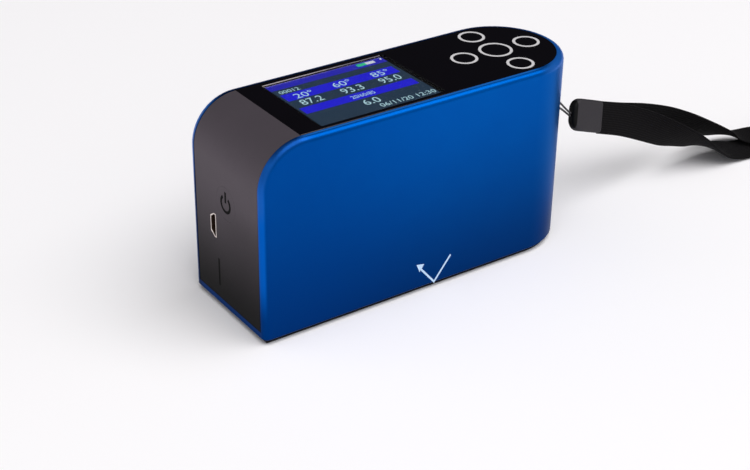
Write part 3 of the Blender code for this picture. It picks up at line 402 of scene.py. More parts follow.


# Painted light and shade on case, cover and window wall: painted shade deeper toward the foot, painted
# highlights and reflections along the edges. Each reach gives an axis and the two places in millimetres
# between which the tone comes in.
paintedLightAndShade = {
    "blue anodised aluminium": [
        {"color": "#00265a", "share": 0.95, "reach": [("Z", 84, -15)]},  # foot
        {"color": "#00357c", "share": 0.42, "reach": [("X", 10, -60)]},  # square end
        {"color": "#0a78f0", "share": 0.40,  # upright front edge
         "reach": [("X", -68.3, -69.3), ("Y", -20.9, -21.4), ("Z", 8, 26), ("Z", 66, 54)]},
        {"color": "#0072b4", "share": 0.5,  # round end
         "reach": [("X", 46, 66), ("Y", 24, -18), ("Z", 8, 44)]},
        {"color": "#001236", "share": 0.6, "reach": [("X", 48, 64), ("Z", 26, 6)]},  # foot of the round end
        {"color": "#1560b8", "share": 1.0, "metal": 0.4,  # upper rim of the round end
         "reach": [("Z", 72.4, 73.6), ("X", 46, 56), ("Y", 20, -10)]},
        {"color": "#001c48", "share": 0.75,  # upright rear edge
         "reach": [("X", -66, -68), ("Y", 18, 21), ("Y", 24, 23.85), ("Z", 64, 40)]},
        {"color": "#1a72d2", "share": 1.0, "metal": 0.45,  # flat lip beside the panel
         "reach": [("Z", 74.86, 74.9), ("Y", -21.0, -21.6), ("X", 52, 44)]},
        {"color": "#0a5ab4", "share": 0.75, "metal": 0.68,  # front rim of the sweep
         "reach": [("Y", -23.9, -23.2), ("Y", -18, -20), ("X", -48, -56), ("Z", 46, 54)]},
        {"color": "#043674", "share": 0.85, "metal": 0.9,  # upper part of that rim
         "reach": [("Y", -23.9, -23.2), ("Y", -18, -20), ("X", -52, -56), ("Z", 68, 72)]},
        {"color": "#1560b8", "share": 1.0, "metal": 0.3,  # rear rim of the sweep
         "reach": [("Y", 21.0, 21.6), ("Y", 24, 23.85), ("X", -50, -56), ("Z", 40, 62), ("Z", 75, 71)]}],
    "spark textured grey moulding": [
        {"color": "#020202", "share": 0.97, "reach": [("Z", 58, 4)]},  # foot
        {"color": "#020202", "share": 0.24, "reach": [("Z", 50, 36), ("Y", 8, -14)]},  # front of the foot
        {"color": "#020202", "share": 0.42, "reach": [("Z", 58, 75)]},  # flat top
        {"color": "#020202", "share": 0.95,  # edge of the slot
         "reach": [("Y", 5.5, 5.6), ("Y", 6.9, 6.8), ("Z", 9.4, 9.6), ("Z", 20.7, 20.5),
                   ("X", -69, -69.6)]}],
    "polished recess wall": [
        {"color": "#6a6268", "share": 0.75, "reach": [("X", -36, -4)]}],  # dimmer toward the keys
}
for name, stack in paintedLightAndShade.items():
    for shade in stack:
        paintLightAndShade(finish[name], shade)


def clearPlastic(name, color, rough, wipe=6):  # clear with a faint wipe of haze
    made, tree, shader = newFinish(name, {"Base Color": hexColor(color), "Transmission Weight": 1.0,
                                          "IOR": 1.49})
    spot = addNode(tree, "ShaderNodeTexCoord").outputs["Object"]
    haze = addNode(tree, "ShaderNodeTexNoise", None, {"Vector": spot, "Scale": per(wipe), "Detail": 5.0})
    sheen = addNode(tree, "ShaderNodeMapRange", None,
                    {"Value": haze.outputs["Fac"], "To Min": rough[0], "To Max": rough[1]})
    tree.links.new(sheen.outputs["Result"], shader.inputs["Roughness"])
    return made


finish["clear display acrylic"] = clearPlastic("clear display acrylic", "#f4f6f8", (0.0, 0.03))
finish["optical glass"] = clearPlastic("optical glass", "#eef4f2", (0.0, 0.02))


def stripes(pitch):  # scale of a wave texture whose stripes lie this far apart on the UV map
    return math.tau / 20 / pitch  # at scale 1 they lie tau / 20 apart


# Patterns, their sizes in millimetres
weave = {"row": 0.7, "rowWobble": 0.25, "yarn": 0.9, "yarnWobble": 0.15, "fuzz": 0.2, "fuzzShare": 0.35,
         "tones": ("#020102", "#100e11"), "relief": 0.18}
braid = {"strand": 0.3, "wobble": 0.1, "lean": 0.9, "tones": ("#08070a", "#211e22"), "relief": 0.08}
tracks = {"pitch": 3.2, "edge": (0.05, 0.11), "tones": ("#0d4a2c", "#17693f"), "relief": 0.03}
pixels = {"dot": 0.15, "between": 0.94}  # every other dot gives this share of the light


# the yarn tone follows the relief: painted highlight on the crowns, painted shade in the hollows
def wovenBand(name, settings):  # nylon webbing: rows of plump yarns, each catches a thin line of light
    made, tree, shader = newFinish(name, {"Sheen Weight": 0.04, "Sheen Roughness": 0.5, "IOR": 1.53,
                                          "Specular IOR Level": 0.04, "Roughness": 0.68})
    spot = addNode(tree, "ShaderNodeTexCoord").outputs["UV"]
    rows = addNode(tree, "ShaderNodeTexWave", {"bands_direction": "Y"},
                   {"Vector": spot, "Scale": stripes(settings["row"]), "Distortion": settings["rowWobble"],
                    "Detail": 1.0, "Detail Scale": 2.0})
    yarns = addNode(tree, "ShaderNodeTexWave", {"bands_direction": "X"},
                    {"Vector": spot, "Scale": stripes(settings["yarn"]), "Distortion": settings["yarnWobble"],
                     "Detail": 1.0, "Detail Scale": 2.0})
    crossed = addNode(tree, "ShaderNodeMath", {"operation": "MULTIPLY"},
                      {0: rows.outputs["Fac"], 1: yarns.outputs["Fac"]})
    fuzz = addNode(tree, "ShaderNodeTexNoise", None,
                   {"Vector": spot, "Scale": 1 / settings["fuzz"], "Detail": 4.0})
    height = addNode(tree, "ShaderNodeMath", {"operation": "MULTIPLY_ADD"},
                     {0: fuzz.outputs["Fac"], 1: settings["fuzzShare"], 2: crossed.outputs["Value"]})
    tones = addNode(tree, "ShaderNodeMix", {"data_type": "RGBA"},
                    {0: height.outputs["Value"], 6: hexColor(settings["tones"][0]),
                     7: hexColor(settings["tones"][1])})
    relief = addNode(tree, "ShaderNodeBump", None,
                     {"Height": height.outputs["Value"], "Strength": clothRelief,
                      "Distance": settings["relief"] * mm})
    tree.links.new(tones.outputs[2], shader.inputs["Base Color"])
    tree.links.new(relief.outputs["Normal"], shader.inputs["Normal"])
    return made


# the strand tone follows the relief: painted highlight on the strands, painted shade between them
def braidedCord(name, settings):  # polyester braid: crossing strands give a fine diamond pattern
    made, tree, shader = newFinish(name, {"Roughness": 0.6, "Sheen Weight": 0.2})
    spot = addNode(tree, "ShaderNodeTexCoord").outputs["UV"]
    parts = []
    for turn in (settings["lean"], -settings["lean"]):
        turned = addNode(tree, "ShaderNodeMapping", None, {"Vector": spot, "Rotation": (0, 0, turn)})
        strand = addNode(tree, "ShaderNodeTexWave", None,
                         {"Vector": turned.outputs["Vector"], "Scale": stripes(settings["strand"]),
                          "Distortion": settings["wobble"]})
        parts.append(strand.outputs["Fac"])
    crossed = addNode(tree, "ShaderNodeMath", {"operation": "MAXIMUM"}, {0: parts[0], 1: parts[1]})
    tones = addNode(tree, "ShaderNodeMix", {"data_type": "RGBA"},
                    {0: crossed.outputs["Value"], 6: hexColor(settings["tones"][0]),
                     7: hexColor(settings["tones"][1])})
    relief = addNode(tree, "ShaderNodeBump", None,
                     {"Height": crossed.outputs["Value"], "Strength": clothRelief,
                      "Distance": settings["relief"] * mm})
    tree.links.new(tones.outputs[2], shader.inputs["Base Color"])
    tree.links.new(relief.outputs["Normal"], shader.inputs["Normal"])
    return made


def solderMask(name, settings):  # glossy green over copper tracks that show as a paler relief
    made, tree, shader = newFinish(name, {"Roughness": 0.3, "IOR": 1.5})
    spot = addNode(tree, "ShaderNodeTexCoord").outputs["Object"]
    cells = addNode(tree, "ShaderNodeTexVoronoi",
                    {"distance": "CHEBYCHEV", "feature": "DISTANCE_TO_EDGE"},
                    {"Vector": spot, "Scale": per(settings["pitch"])})
    line = addNode(tree, "ShaderNodeMapRange", None,
                   {"Value": cells.outputs["Distance"], "From Min": settings["edge"][0],
                    "From Max": settings["edge"][1], "To Min": 1.0, "To Max": 0.0})
    tones = addNode(tree, "ShaderNodeMix", {"data_type": "RGBA"},
                    {0: line.outputs["Result"], 6: hexColor(settings["tones"][0]),
                     7: hexColor(settings["tones"][1])})
    relief = addNode(tree, "ShaderNodeBump", None,
                     {"Height": line.outputs["Result"], "Strength": hardRelief,
                      "Distance": settings["relief"] * mm})
    tree.links.new(tones.outputs[2], shader.inputs["Base Color"])
    tree.links.new(relief.outputs["Normal"], shader.inputs["Normal"])
    return made


def litPixels(name, color, settings):  # light from the display, its dot grid just visible close up
    made, tree, shader = newFinish(name, {"Base Color": hexColor("#000000"), "Roughness": 0.4,
                                          "Emission Strength": 1.0})
    spot = addNode(tree, "ShaderNodeTexCoord").outputs["Object"]
    grid = addNode(tree, "ShaderNodeTexChecker", None, {"Vector": spot, "Scale": per(settings["dot"])})
    level = addNode(tree, "ShaderNodeMapRange", None,
                    {"Value": grid.outputs["Fac"], "To Min": settings["between"], "To Max": 1.0})
    tones = addNode(tree, "ShaderNodeMix", {"data_type": "RGBA", "blend_type": "MULTIPLY"},
                    {0: 1.0, 6: hexColor(color), 7: level.outputs["Result"]})
    tree.links.new(tones.outputs[2], shader.inputs["Emission Color"])
    return made


finish["woven nylon band"] = wovenBand("woven nylon band", weave)
finish["braided polyester cord"] = braidedCord("braided polyester cord", braid)
finish["green solder mask"] = solderMask("green solder mask", tracks)
for name, color in (("title blue", "#2a28bc"), ("band blue", "#2420e2"), ("slate field", "#283c50"),
                    ("pale text", "#bee6f0"), ("charge green", "#3cd296"), ("charge white", "#e6ecf2")):
    finish[name] = litPixels("lit " + name, color, pixels)
print("finishes made:", len(finish))

# Wrist strap: a thin braided cord, a moulded sleeve and a woven band
strap = {
    "cordThick": 0.8, "cordSides": 12, "cordSteps": 4,  # steps from point to point of its route
    "cordRoute": [
        (86.6, 0.6, 37.9), (84.7, 0.65, 39.0), (81.8, 0.6, 41.8), (78.6, 0.4, 45.1), (75.6, 0.2, 48.0),
        (72.6, 0.0, 49.8), (69.5, 0.0, 50.0), (67.0, 0.0, 50.0), (65.4, 0.0, 49.4), (64.8, 0.0, 48.0),
        (65.4, 0.0, 46.6), (67.0, 0.0, 46.0), (69.5, 0.0, 46.0), (72.6, 0.0, 45.8), (75.8, 0.2, 44.6),
        (78.8, 0.4, 42.7), (81.5, 0.6, 40.5), (84.35, 0.55, 38.0), (86.2, 0.5, 37.0)],
    "cordExit": (70.0, 0.0, 48.0),
    "sleeveStart": (85.0, 0.5, 38.5), "sleeveEnd": (100.4, 0.2, 33.3), "sleeveLean": 20,
    "sleeveWidth": 12.8, "sleeveThick": 4.2, "sleeveCorner": 4.4, "sleeveEdge": 1.5, "capLength": 1.7,
    "bandWidth": 13.0, "bandThick": 0.9, "bandSteps": 6,
    "bandRoute": [  # middle line, and the lean of the width from upright in degrees
        (99.6, -0.4, 33.6, 18), (112.0, -1.0, 29.4, 16), (124.0, -2.4, 24.2, 6),
        (134.0, -4.0, 19.2, -12), (142.5, -5.4, 15.2, -34), (149.5, -6.4, 11.7, -51),
        (155.5, -7.1, 8.7, -74), (161.0, -7.7, 6.3, -93), (167.0, -8.1, 4.0, -102),
        (176.0, -8.7, 2.1, -100), (187.0, -9.0, 1.9, -98), (198.0, -8.2, 2.6, -108),
        (206.0, -7.0, 5.3, -136), (213.5, -6.0, 6.6, -168), (220.5, -7.6, 6.8, -180),
        (224.6, -13.0, 6.8, -180), (223.0, -19.6, 6.8, -180), (216.5, -22.8, 6.8, -188),
        (208.5, -20.8, 6.1, -218), (200.5, -16.0, 5.1, -248), (192.5, -10.3, 4.7, -258),
        (186.0, -5.4, 4.6, -262), (181.0, -1.8, 4.5, -276), (176.5, 0.4, 5.4, -292),
        (170.5, 1.4, 7.6, -304), (162.0, 2.0, 11.2, -318), (151.0, 2.6, 15.9, -338),
        (139.0, 2.9, 20.6, -358), (126.0, 2.6, 24.9, -372), (113.0, 1.6, 28.8, -377),
        (99.6, 0.7, 33.2, -378)],
}


def acrossFrame(along, lean):  # width and normal of a band that runs along, leaning from upright
    upright = (Vector((0, 0, 1)) - along * along.z).normalized()
    side = upright.cross(along)
    width = upright * math.cos(lean) + side * math.sin(lean)
    return width, along.cross(width)


def directions(points):
    found = []
    for i in range(len(points)):
        a, b = points[max(i - 1, 0)], points[min(i + 1, len(points) - 1)]
        found.append((b - a).normalized())
    return found


def bandSection(width, thick):  # rounded selvedges, a few points across the flat
    half, rim, parts = width / 2, thick / 2, 8
    bends = (math.pi / 4, math.pi / 2, 3 * math.pi / 4)
    flat = [half - rim - (width - 2 * rim) * i / parts for i in range(parts + 1)]
    points = [(x, rim) for x in flat]
    points += [(-half + rim - rim * math.sin(a), rim * math.cos(a)) for a in bends]
    points += [(-x, -rim) for x in flat]
    points += [(half - rim + rim * math.sin(a), -rim * math.cos(a)) for a in bends]
    return points


def makeBand(settings, finish):
    route = smoothRoute([p[:3] for p in settings["bandRoute"]], settings["bandSteps"])
    leans = smoothRoute([(p[3], 0, 0) for p in settings["bandRoute"]], settings["bandSteps"])
    section = bandSection(settings["bandWidth"], settings["bandThick"])
    rings = []
    for point, along, lean in zip(route, directions(route), leans):
        width, normal = acrossFrame(along, math.radians(lean.x))
        rings.append([point + width * w + normal * n for w, n in section])
    band = loft("strapBand", rings)
    smoothFaces(band, angle=50)
    fitOut(band, finish, "meter")
    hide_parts("strap_webbing")
    return band, route


def makeCord(settings, finish):
    route = smoothRoute(settings["cordRoute"], settings["cordSteps"])
    radius = settings["cordThick"] / 2
    count = settings["cordSides"]
    side = Vector((0, 1, 0))
    rings = []
    for point, along in zip(route, directions(route)):
        other = along.cross(side).normalized()
        across = other.cross(along)
        rings.append([point + (across * math.cos(math.tau * i / count)
                               + other * math.sin(math.tau * i / count)) * radius for i in range(count)])
    cord = loft("strapCord", rings)
    smoothFaces(cord, angle=60)
    fitOut(cord, finish, "meter")
    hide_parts("strap_cord")
    return cord, route


def roundCorners(sleeve, radius):  # the two corners at the cord's end
    bpy.ops.object.mode_set(mode="EDIT")
    bpy.ops.mesh.select_all(action="DESELECT")
    mesh = bmesh.from_edit_mesh(sleeve.data)
    for edge in mesh.edges:
        a, b = (v.co for v in edge.verts)
        if abs(a.x) < weld and abs(b.x) < weld and abs(a.y - b.y) < weld:
            edge.select_set(True)
    bmesh.update_edit_mesh(sleeve.data)
    bpy.ops.mesh.bevel(offset=radius * mm, segments=8, affect="EDGES")
    bpy.ops.object.mode_set(mode="OBJECT")


def makeSleeve(settings, finish, capFinish):
    start, end = Vector(settings["sleeveStart"]), Vector(settings["sleeveEnd"])
    along = (end - start).normalized()
    length = (end - start).length
    width, normal = acrossFrame(along, math.radians(settings["sleeveLean"]))
    deselect()
    bpy.ops.mesh.primitive_cube_add(size=1)
    sleeve = bpy.context.object
    sleeve.name = "strapSleeve"
    sleeve.dimensions = (length * mm, settings["sleeveWidth"] * mm, settings["sleeveThick"] * mm)
    sleeve.location = (length / 2 * mm, 0, 0)
    settle(sleeve)
    roundCorners(sleeve, settings["sleeveCorner"])
    softenEdges(sleeve, settings["sleeveEdge"], segments=6, angle=50)
    pick(sleeve)
    bpy.ops.object.mode_set(mode="EDIT")
    bpy.ops.mesh.select_all(action="SELECT")
    bpy.ops.mesh.bisect(plane_co=(settings["capLength"] * mm, 0, 0), plane_no=(1, 0, 0))
    bpy.ops.object.mode_set(mode="OBJECT")
    smoothFaces(sleeve, angle=40)
    sleeve.data.materials.append(finish)
    sleeve.data.materials.append(capFinish)
    for face in sleeve.data.polygons:
        if face.center.x < settings["capLength"] * mm:
            face.material_index = 1
    turn = Matrix((along, width, normal)).transposed().to_4x4()
    sleeve.data.transform(Matrix.Translation(start * mm) @ turn)
    fitOut(sleeve, None, "meter")
    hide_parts("strap_sleeve")
    return sleeve


band, bandLine = makeBand(strap, finish["woven nylon band"])
cord, cordLine = makeCord(strap, finish["braided polyester cord"])
sleeve = makeSleeve(strap, finish["soft moulded vinyl"], finish["black vinyl end"])
print("strap made: cord", round(routeLength(cordLine)), "mm, band", round(routeLength(bandLine)), "mm")

# Case, cover, panel and the other pieces that show, merged and smooth
shells = [
    # node, name, finish, body, slot, bevel in mm
    ("casing", "casingShell", "blue anodised aluminium", "meter", "casing", 0.12),
    ("end_cover", "endCover", "spark textured grey moulding", "meter", "end_cover", 0.03),
    ("base_plate", "basePlate", "black glass filled moulding", "meter", "base_plate", 0.15),
    ("top_panel", "topPanel", "polished black acrylic", "meter", "top_panel", 0.06),
    ("display_window", "displayWindow", "clear display acrylic", "meter", "display_window", 0.04),
    # the key takes the cover's finish with its painted shade, so that the two match
    ("power_button", "powerButton", "spark textured grey moulding", "power_key", "power_button", 0.02),
    ("usb_shell", "socketShell", "nickel plated steel", "meter", "socket_metal", 0.06),
    ("usb_tongue", "socketTongue", "black socket insert", "meter", "socket_plastic", 0.08),
    ("optics_block", "opticsBlock", "black anodised optics block", "meter", "optics_block", 0.15),
]
windowSheet = {"underside": 74.2}  # the picture is bonded under a thin sheet
keyRim = {"inner": 5.5, "outer": 6.25, "radius": 6.32}  # its gap in the cover is only a hairline
throatShadeStart = -69.9  # only the rim of the socket shines, the throat is in the dark


def widenRim(piece, node, settings):  # moves the chamfer of the key out, toward the cover
    low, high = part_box(node)
    centre = Vector((0, (low.y + high.y) / 2, (low.z + high.z) / 2))
    for vertex in piece.data.vertices:
        spoke = Vector((0, vertex.co.y - centre.y, vertex.co.z - centre.z))
        if settings["inner"] * mm < spoke.length < settings["outer"] * mm:
            spoke *= settings["radius"] * mm / spoke.length
            vertex.co.y, vertex.co.z = centre.y + spoke.y, centre.z + spoke.z


shown = {}
for node, name, coat, body, slot, bevel in shells:
    piece = copyNode(node, name)
    if node == "power_button":
        widenRim(piece, node, keyRim)
    if node == "display_window":
        for vertex in piece.data.vertices:
            vertex.co.z = max(vertex.co.z, windowSheet["underside"] * mm)
    softenEdges(piece, bevel)
    smoothFaces(piece)
    fitOut(piece, finish[coat], body)
    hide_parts(node)
    shown[node] = piece
# painted shade: inside the throat the socket's metal takes the dark insert finish, only the rim keeps its
# shine
throat = shown["usb_shell"]
throat.data.materials.append(finish["black socket insert"])
for face in throat.data.polygons:
    if face.center.x > throatShadeStart * mm:
        face.material_index = 1
print("case pieces made:", len(shown))

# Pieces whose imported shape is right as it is
kept = {
    "display_module": "display frame plastic", "battery": "foil wrapped battery",
    "switch_plunger": "white acetal", "switch_body": "black switch moulding",
    "display_board": "green solder mask", "main_board": "green solder mask",
    "io_board": "green solder mask",
}
groups = {
    "key_ring": "pale screen print ink", "key_sensor": "conductive foam",
    "lower_pillar": "turned brass", "upper_pillar": "turned brass",
    "lamp": "lamp epoxy", "detector": "detector can",
}
for node in nodes:
    group = node.rsplit("_", 1)[0]
    coat = kept.get(node) or groups.get(group)
    if coat:
        nodes[node].data.materials.clear()
        nodes[node].data.materials.append(finish[coat])

# Lenses, smooth and clear
for side in ("source", "receiver"):
    for angle in (20, 60, 85):
        lens = copyNode(f"{side}_lens_{angle}", f"{side}Lens{angle}")
        smoothFaces(lens, angle=50)
        fitOut(lens, finish["optical glass"], "meter")
        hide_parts(f"{side}_lens_{angle}")

# Screws with a six sided socket in the head
drive = {
    "base_screw": {"radius": 0.95, "depth": 1.0, "up": -1, "edge": 0.08},
    "board_screw": {"radius": 0.6, "depth": 0.6, "up": 1, "edge": 0.08},
}
for kind, socket in drive.items():
    for i in range(1, 5):
        node = f"{kind}_{i}"
        low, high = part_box(node)
        head = high.z if socket["up"] > 0 else low.z
        screw = copyNode(node, node.replace("_", ""))
        deselect()
        middle = ((low.x + high.x) / 2, (low.y + high.y) / 2, head)
        bpy.ops.mesh.primitive_cylinder_add(vertices=6, radius=socket["radius"] * mm,
                                            depth=2 * socket["depth"] * mm, location=middle)
        cutter = bpy.context.object
        step = screw.modifiers.new("socket", "BOOLEAN")
        step.object = cutter
        step.solver = "EXACT"
        applyAll(screw)
        bpy.data.objects.remove(cutter)
        softenEdges(screw, socket["edge"])
        smoothFaces(screw)
        fitOut(screw, finish["stainless screw steel"], "meter")
        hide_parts(node)
print("screws and lenses made")


# Flat marks, a few hundredths thick: filled flat curves made a mesh
def facePlane(origin, across, upward):
    across, upward = Vector(across), Vector(upward)
    turn = Matrix((across, upward, across.cross(upward))).transposed().to_4x4()
    return Matrix.Translation(place(origin)) @ turn


def flatMark(name, outlines, thick, plane, coat, body):  # outlines in the mark's own plane
    drawing = bpy.data.curves.new(name, "CURVE")
    drawing.dimensions = "2D"
    drawing.fill_mode = "BOTH"
    drawing.extrude = thick / 2 * mm
    for outline in outlines:
        line = drawing.splines.new("POLY")
        line.points.add(len(outline) - 1)
        for point, (x, y) in zip(line.points, outline):
            point.co = (x * mm, y * mm, 0, 1)
        line.use_cyclic_u = True
    mark = bpy.data.objects.new(name, drawing)
    bpy.context.scene.collection.objects.link(mark)
    pick(mark)
    bpy.ops.object.convert(target="MESH")
    bpy.ops.object.mode_set(mode="EDIT")
    bpy.ops.mesh.select_all(action="SELECT")
    bpy.ops.mesh.remove_doubles(threshold=fineWeld)
    bpy.ops.mesh.normals_make_consistent(inside=False)
    bpy.ops.object.mode_set(mode="OBJECT")
    mark.data.transform(plane @ Matrix.Translation((0, 0, thick / 2 * mm)))
    fitOut(mark, finish[coat], body)
    return mark


def stroke(points, width):  # both sides of a bent line, one after the other
    points = [Vector(p) for p in points]
    left, right = [], []
    for i, point in enumerate(points):
        before = (point - points[i - 1]).normalized() if i > 0 else (points[1] - point).normalized()
        after = (points[i + 1] - point).normalized() if i < len(points) - 1 else before
        along = (before + after).normalized()
        side = Vector((-along.y, along.x)) * width / 2 / along.dot(before)
        left.append(tuple(point + side))
        right.append(tuple(point - side))
    return left, right[::-1]


def arcBand(radius, width, start, end, steps):  # a bent line as one outline
    angles = [math.radians(start + (end - start) * i / steps) for i in range(steps + 1)]
    far, near = radius + width / 2, radius - width / 2
    outer = [(far * math.cos(t), far * math.sin(t)) for t in angles]
    inner = [(near * math.cos(t), near * math.sin(t)) for t in reversed(angles)]
    return outer + inner


def rectangle(left, right, low, high):
    return [(left, low), (right, low), (right, high), (left, high)]


# Light path mark on the front: a beam comes in, meets the surface and leaves
pathMark = {"y": -24.0, "width": 0.72, "thick": 0.02,
            "line": [(-4.28, 9.52), (1.75, 2.4), (8.9, 11.5)],
            "head": [(-4.9, 8.6), (-6.4, 12.0), (-3.0, 11.4)]}
left, right = stroke(pathMark["line"], pathMark["width"])
flatMark("lightPathMark", [left + right + pathMark["head"]], pathMark["thick"],
         facePlane((0, pathMark["y"], 0), (1, 0, 0), (0, 0, 1)),
         "light blue mark ink", "meter")

# Power sign on the key
powerSign = {"x": -70.0, "y": 0.1, "z": 44.75, "radius": 2.95, "width": 1.1, "thick": 0.03,
             "open": (125, 415), "steps": 40, "bar": (0.5, 4.7)}
bow = arcBand(powerSign["radius"], powerSign["width"], *powerSign["open"], powerSign["steps"])
left, right = stroke([(0, powerSign["bar"][0]), (0, powerSign["bar"][1])], powerSign["width"])
flatMark("powerSign", [bow, left + right], powerSign["thick"],
         facePlane((powerSign["x"], powerSign["y"], powerSign["z"]), (0, -1, 0), (0, 0, 1)),
         "black mark ink", "power_key")
print("marks made")

# Thin painted lines of light and shade: a painted highlight along the edge of the panel and on the back wall
# of the window recess, painted shade in the depth of the slot
panelLow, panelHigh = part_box("top_panel")
windowLow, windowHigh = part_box("display_window")
panelHighlight = {"inset": 0.1, "width": 0.3, "end": 20.0, "thick": 0.02}
recessHighlight = {"leftIn": 0.6, "rightIn": 1.4, "low": 0.22, "high": 0.54, "behind": 0.06, "thick": 0.03}
slotShade = {"x": -69.75, "y": 6.2, "low": 9.73, "high": 20.37, "width": 0.68, "thick": 0.2}

front, start = panelLow.y / mm + panelHighlight["inset"], panelLow.x / mm + panelHighlight["inset"]
flatMark("panelEdge", [[(start, front), (panelHighlight["end"], front), (start, front + panelHighlight["width"])]],
         panelHighlight["thick"], facePlane((0, 0, panelHigh.z / mm), (1, 0, 0), (0, 1, 0)),
         "polished panel edge", "meter")
left, right = windowLow.x / mm + recessHighlight["leftIn"], windowHigh.x / mm - recessHighlight["rightIn"]
back = windowHigh.y / mm + recessHighlight["behind"]
flatMark("windowWall", [rectangle(left, right, recessHighlight["low"], recessHighlight["high"])],
         recessHighlight["thick"], facePlane((0, back, windowHigh.z / mm), (1, 0, 0), (0, 0, 1)),
         "polished recess wall", "meter")
half = slotShade["width"] / 2
flatMark("slotShade", [rectangle(-half, half, slotShade["low"], slotShade["high"])], slotShade["thick"],
         facePlane((slotShade["x"], slotShade["y"], 0), (0, -1, 0), (0, 0, 1)),
         "black mark ink", "meter")

# Display picture: bands and fields, then plain numbers
screen = {
    "left": -42.6, "right": 6.4, "back": 18.6, "front": -17.7, "z": 74.1, "thick": 0.02,
    "rows": [  # share of the depth from the back edge, and colour
        (0.0, 0.12, "title blue"), (0.12, 0.235, "slate field"), (0.235, 0.395, "band blue"),
        (0.395, 0.575, "slate field"), (0.575, 0.712, "band blue"), (0.712, 1.0, "slate field")],
    "charge": {"x": -1.5, "share": 0.051, "long": 7.6, "tall": 1.9, "stem": (5.0, 5.8, 0.1, 1.1)},
    "margins": (0.9, 1.5),  # the blue bands stop this far from the left and right edge
    "maskInset": 0.02,  # the black round the picture ends just inside the window
    "numbers": [  # text, middle x, share of the depth, height in mm, width in mm
        ("20\u00b0", -34.1, 0.325, 3.9, 7.4), ("60\u00b0", -18.2, 0.315, 3.9, 7.4),
        ("85\u00b0", -1.9, 0.315, 3.9, 7.4), ("87.2", -34.4, 0.478, 4.1, 8.7),
        ("93.3", -17.7, 0.478, 4.1, 8.7), ("95.0", -1.7, 0.478, 4.1, 8.7),
        ("20/60/85", -17.3, 0.643, 2.3, 9.6), ("6.0", -17.6, 0.80, 4.0, 6.5),
        ("00012", -36.8, 0.185, 2.3, 8.0), ("06/11/20 12:30", -5.6, 0.93, 2.6, 23.0)],
}


def shareToY(share):
    return screen["back"] + (screen["front"] - screen["back"]) * share


def topPlane(z):
    return facePlane((0, 0, z), (1, 0, 0), (0, 1, 0))


inset = screen["maskInset"]
flatMark("windowMask", [rectangle(windowLow.x / mm + inset, windowHigh.x / mm - inset,
                                  windowLow.y / mm + inset, windowHigh.y / mm - inset)],
         screen["thick"], topPlane(screen["z"] - screen["thick"]),
         "display frame plastic", "meter")
for i, (start, end, coat) in enumerate(screen["rows"]):
    inLeft, inRight = screen["margins"] if coat == "band blue" else (0, 0)
    left, right = screen["left"] + inLeft, screen["right"] - inRight
    flatMark(f"screenRow{i}", [rectangle(left, right, shareToY(end), shareToY(start))],
             screen["thick"], topPlane(screen["z"]), coat, "meter")
    if inLeft:
        flatMark(f"screenMargins{i}", [rectangle(screen["left"], left, shareToY(end), shareToY(start)),
                                       rectangle(right, screen["right"], shareToY(end), shareToY(start))],
                 screen["thick"], topPlane(screen["z"]), "slate field", "meter")
charge = screen["charge"]
stemLeft, stemRight, stemLow, stemHigh = charge["stem"]
y, half, tall = shareToY(charge["share"]), charge["long"] / 2, charge["tall"] / 2
raised = screen["z"] + screen["thick"]
flatMark("chargeFull", [rectangle(charge["x"] - half, charge["x"], y - tall, y + tall)],
         screen["thick"], topPlane(raised), "charge green", "meter")
flatMark("chargeLeft", [rectangle(charge["x"], charge["x"] + half, y - tall, y + tall),
                        rectangle(stemLeft, stemRight, y + stemLow, y + stemHigh)],
         screen["thick"], topPlane(raised), "charge white", "meter")
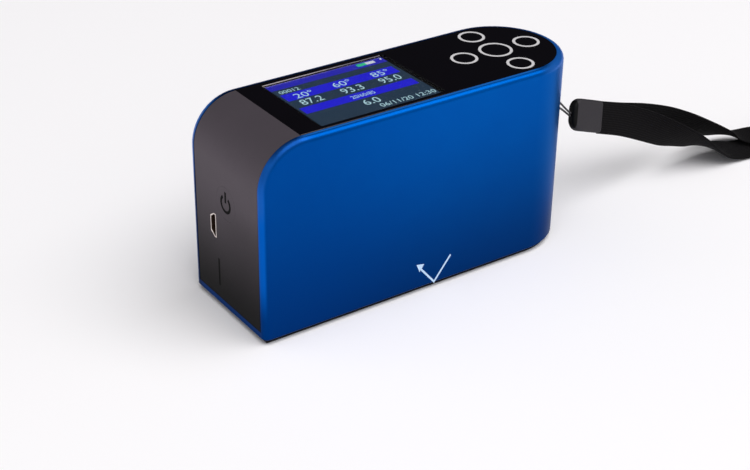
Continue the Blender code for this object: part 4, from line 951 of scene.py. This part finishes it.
for i, (text, x, share, tall, wide) in enumerate(screen["numbers"]):
    deselect()
    bpy.ops.object.text_add()
    label = bpy.context.object
    label.name = f"screenNumber{i}"
    label.data.body = text
    label.data.align_x = "CENTER"
    label.data.align_y = "CENTER"
    label.data.resolution_u = 4
    label.data.extrude = 0.01  # any depth will do, the dimensions below set it
    bpy.ops.object.convert(target="MESH")
    label.dimensions = (wide * mm, tall * mm, screen["thick"] * mm)
    settle(label)
    low = [min(v.co[k] for v in label.data.vertices) for k in range(3)]
    high = [max(v.co[k] for v in label.data.vertices) for k in range(3)]
    middle = Vector(((low[0] + high[0]) / 2, (low[1] + high[1]) / 2, low[2]))
    target = place((x, shareToY(share), raised))
    label.data.transform(Matrix.Translation(target - middle))
    fitOut(label, finish["pale text"], "meter")
print("display picture made:", len(screen["rows"]), "rows,", len(screen["numbers"]), "numbers")

# Light and floor
studio = {
    "boxPlace": (0.33, -1.05, 2.55), "boxSize": (3.6, 2.4), "boxPower": 69,  # metres, watts
    "roomLight": 0.62, "darkLight": 0.02,  # strength of the room, and of its dark side behind the meter
    "darkYaw": 35, "darkRamp": (0.1, 0.6),  # where the dark side lies, and how it comes in
    "floorHalf": 5.0,
}


def addStudio(settings):
    data = bpy.data.lights.new("softbox", "AREA")
    data.shape = "RECTANGLE"
    data.size, data.size_y = settings["boxSize"]
    data.energy = settings["boxPower"]
    box = bpy.data.objects.new("softbox", data)
    box.location = settings["boxPlace"]
    box.rotation_euler = (-Vector(settings["boxPlace"])).to_track_quat("-Z", "Y").to_euler()
    bpy.context.scene.collection.objects.link(box)
    world = bpy.data.worlds.new("studio")
    bpy.context.scene.world = world
    world.use_nodes = True
    tree = world.node_tree
    away = math.radians(settings["darkYaw"])
    toward = addNode(tree, "ShaderNodeVectorMath", {"operation": "DOT_PRODUCT"},
                     {0: addNode(tree, "ShaderNodeTexCoord").outputs["Generated"],
                      1: (math.sin(away), math.cos(away), 0)})
    level = addNode(tree, "ShaderNodeMapRange", {"interpolation_type": "SMOOTHSTEP"},
                    {"Value": toward.outputs["Value"],
                     "From Min": settings["darkRamp"][0], "From Max": settings["darkRamp"][1],
                     "To Min": settings["roomLight"], "To Max": settings["darkLight"]})
    tree.links.new(level.outputs["Result"], tree.nodes["Background"].inputs["Strength"])
    tree.nodes["Background"].inputs["Color"].default_value = (1, 1, 1, 1)
    deselect()
    bpy.ops.mesh.primitive_plane_add(size=2 * settings["floorHalf"])
    floor = bpy.context.object
    floor.name = "floor"
    paper, _, _ = newFinish("matt paper sweep", {"Base Color": hexColor("#f8f6f8"), "Roughness": 0.9})
    floor.data.materials.append(paper)


addStudio(studio)
bpy.context.scene.view_settings.view_transform = "Standard"
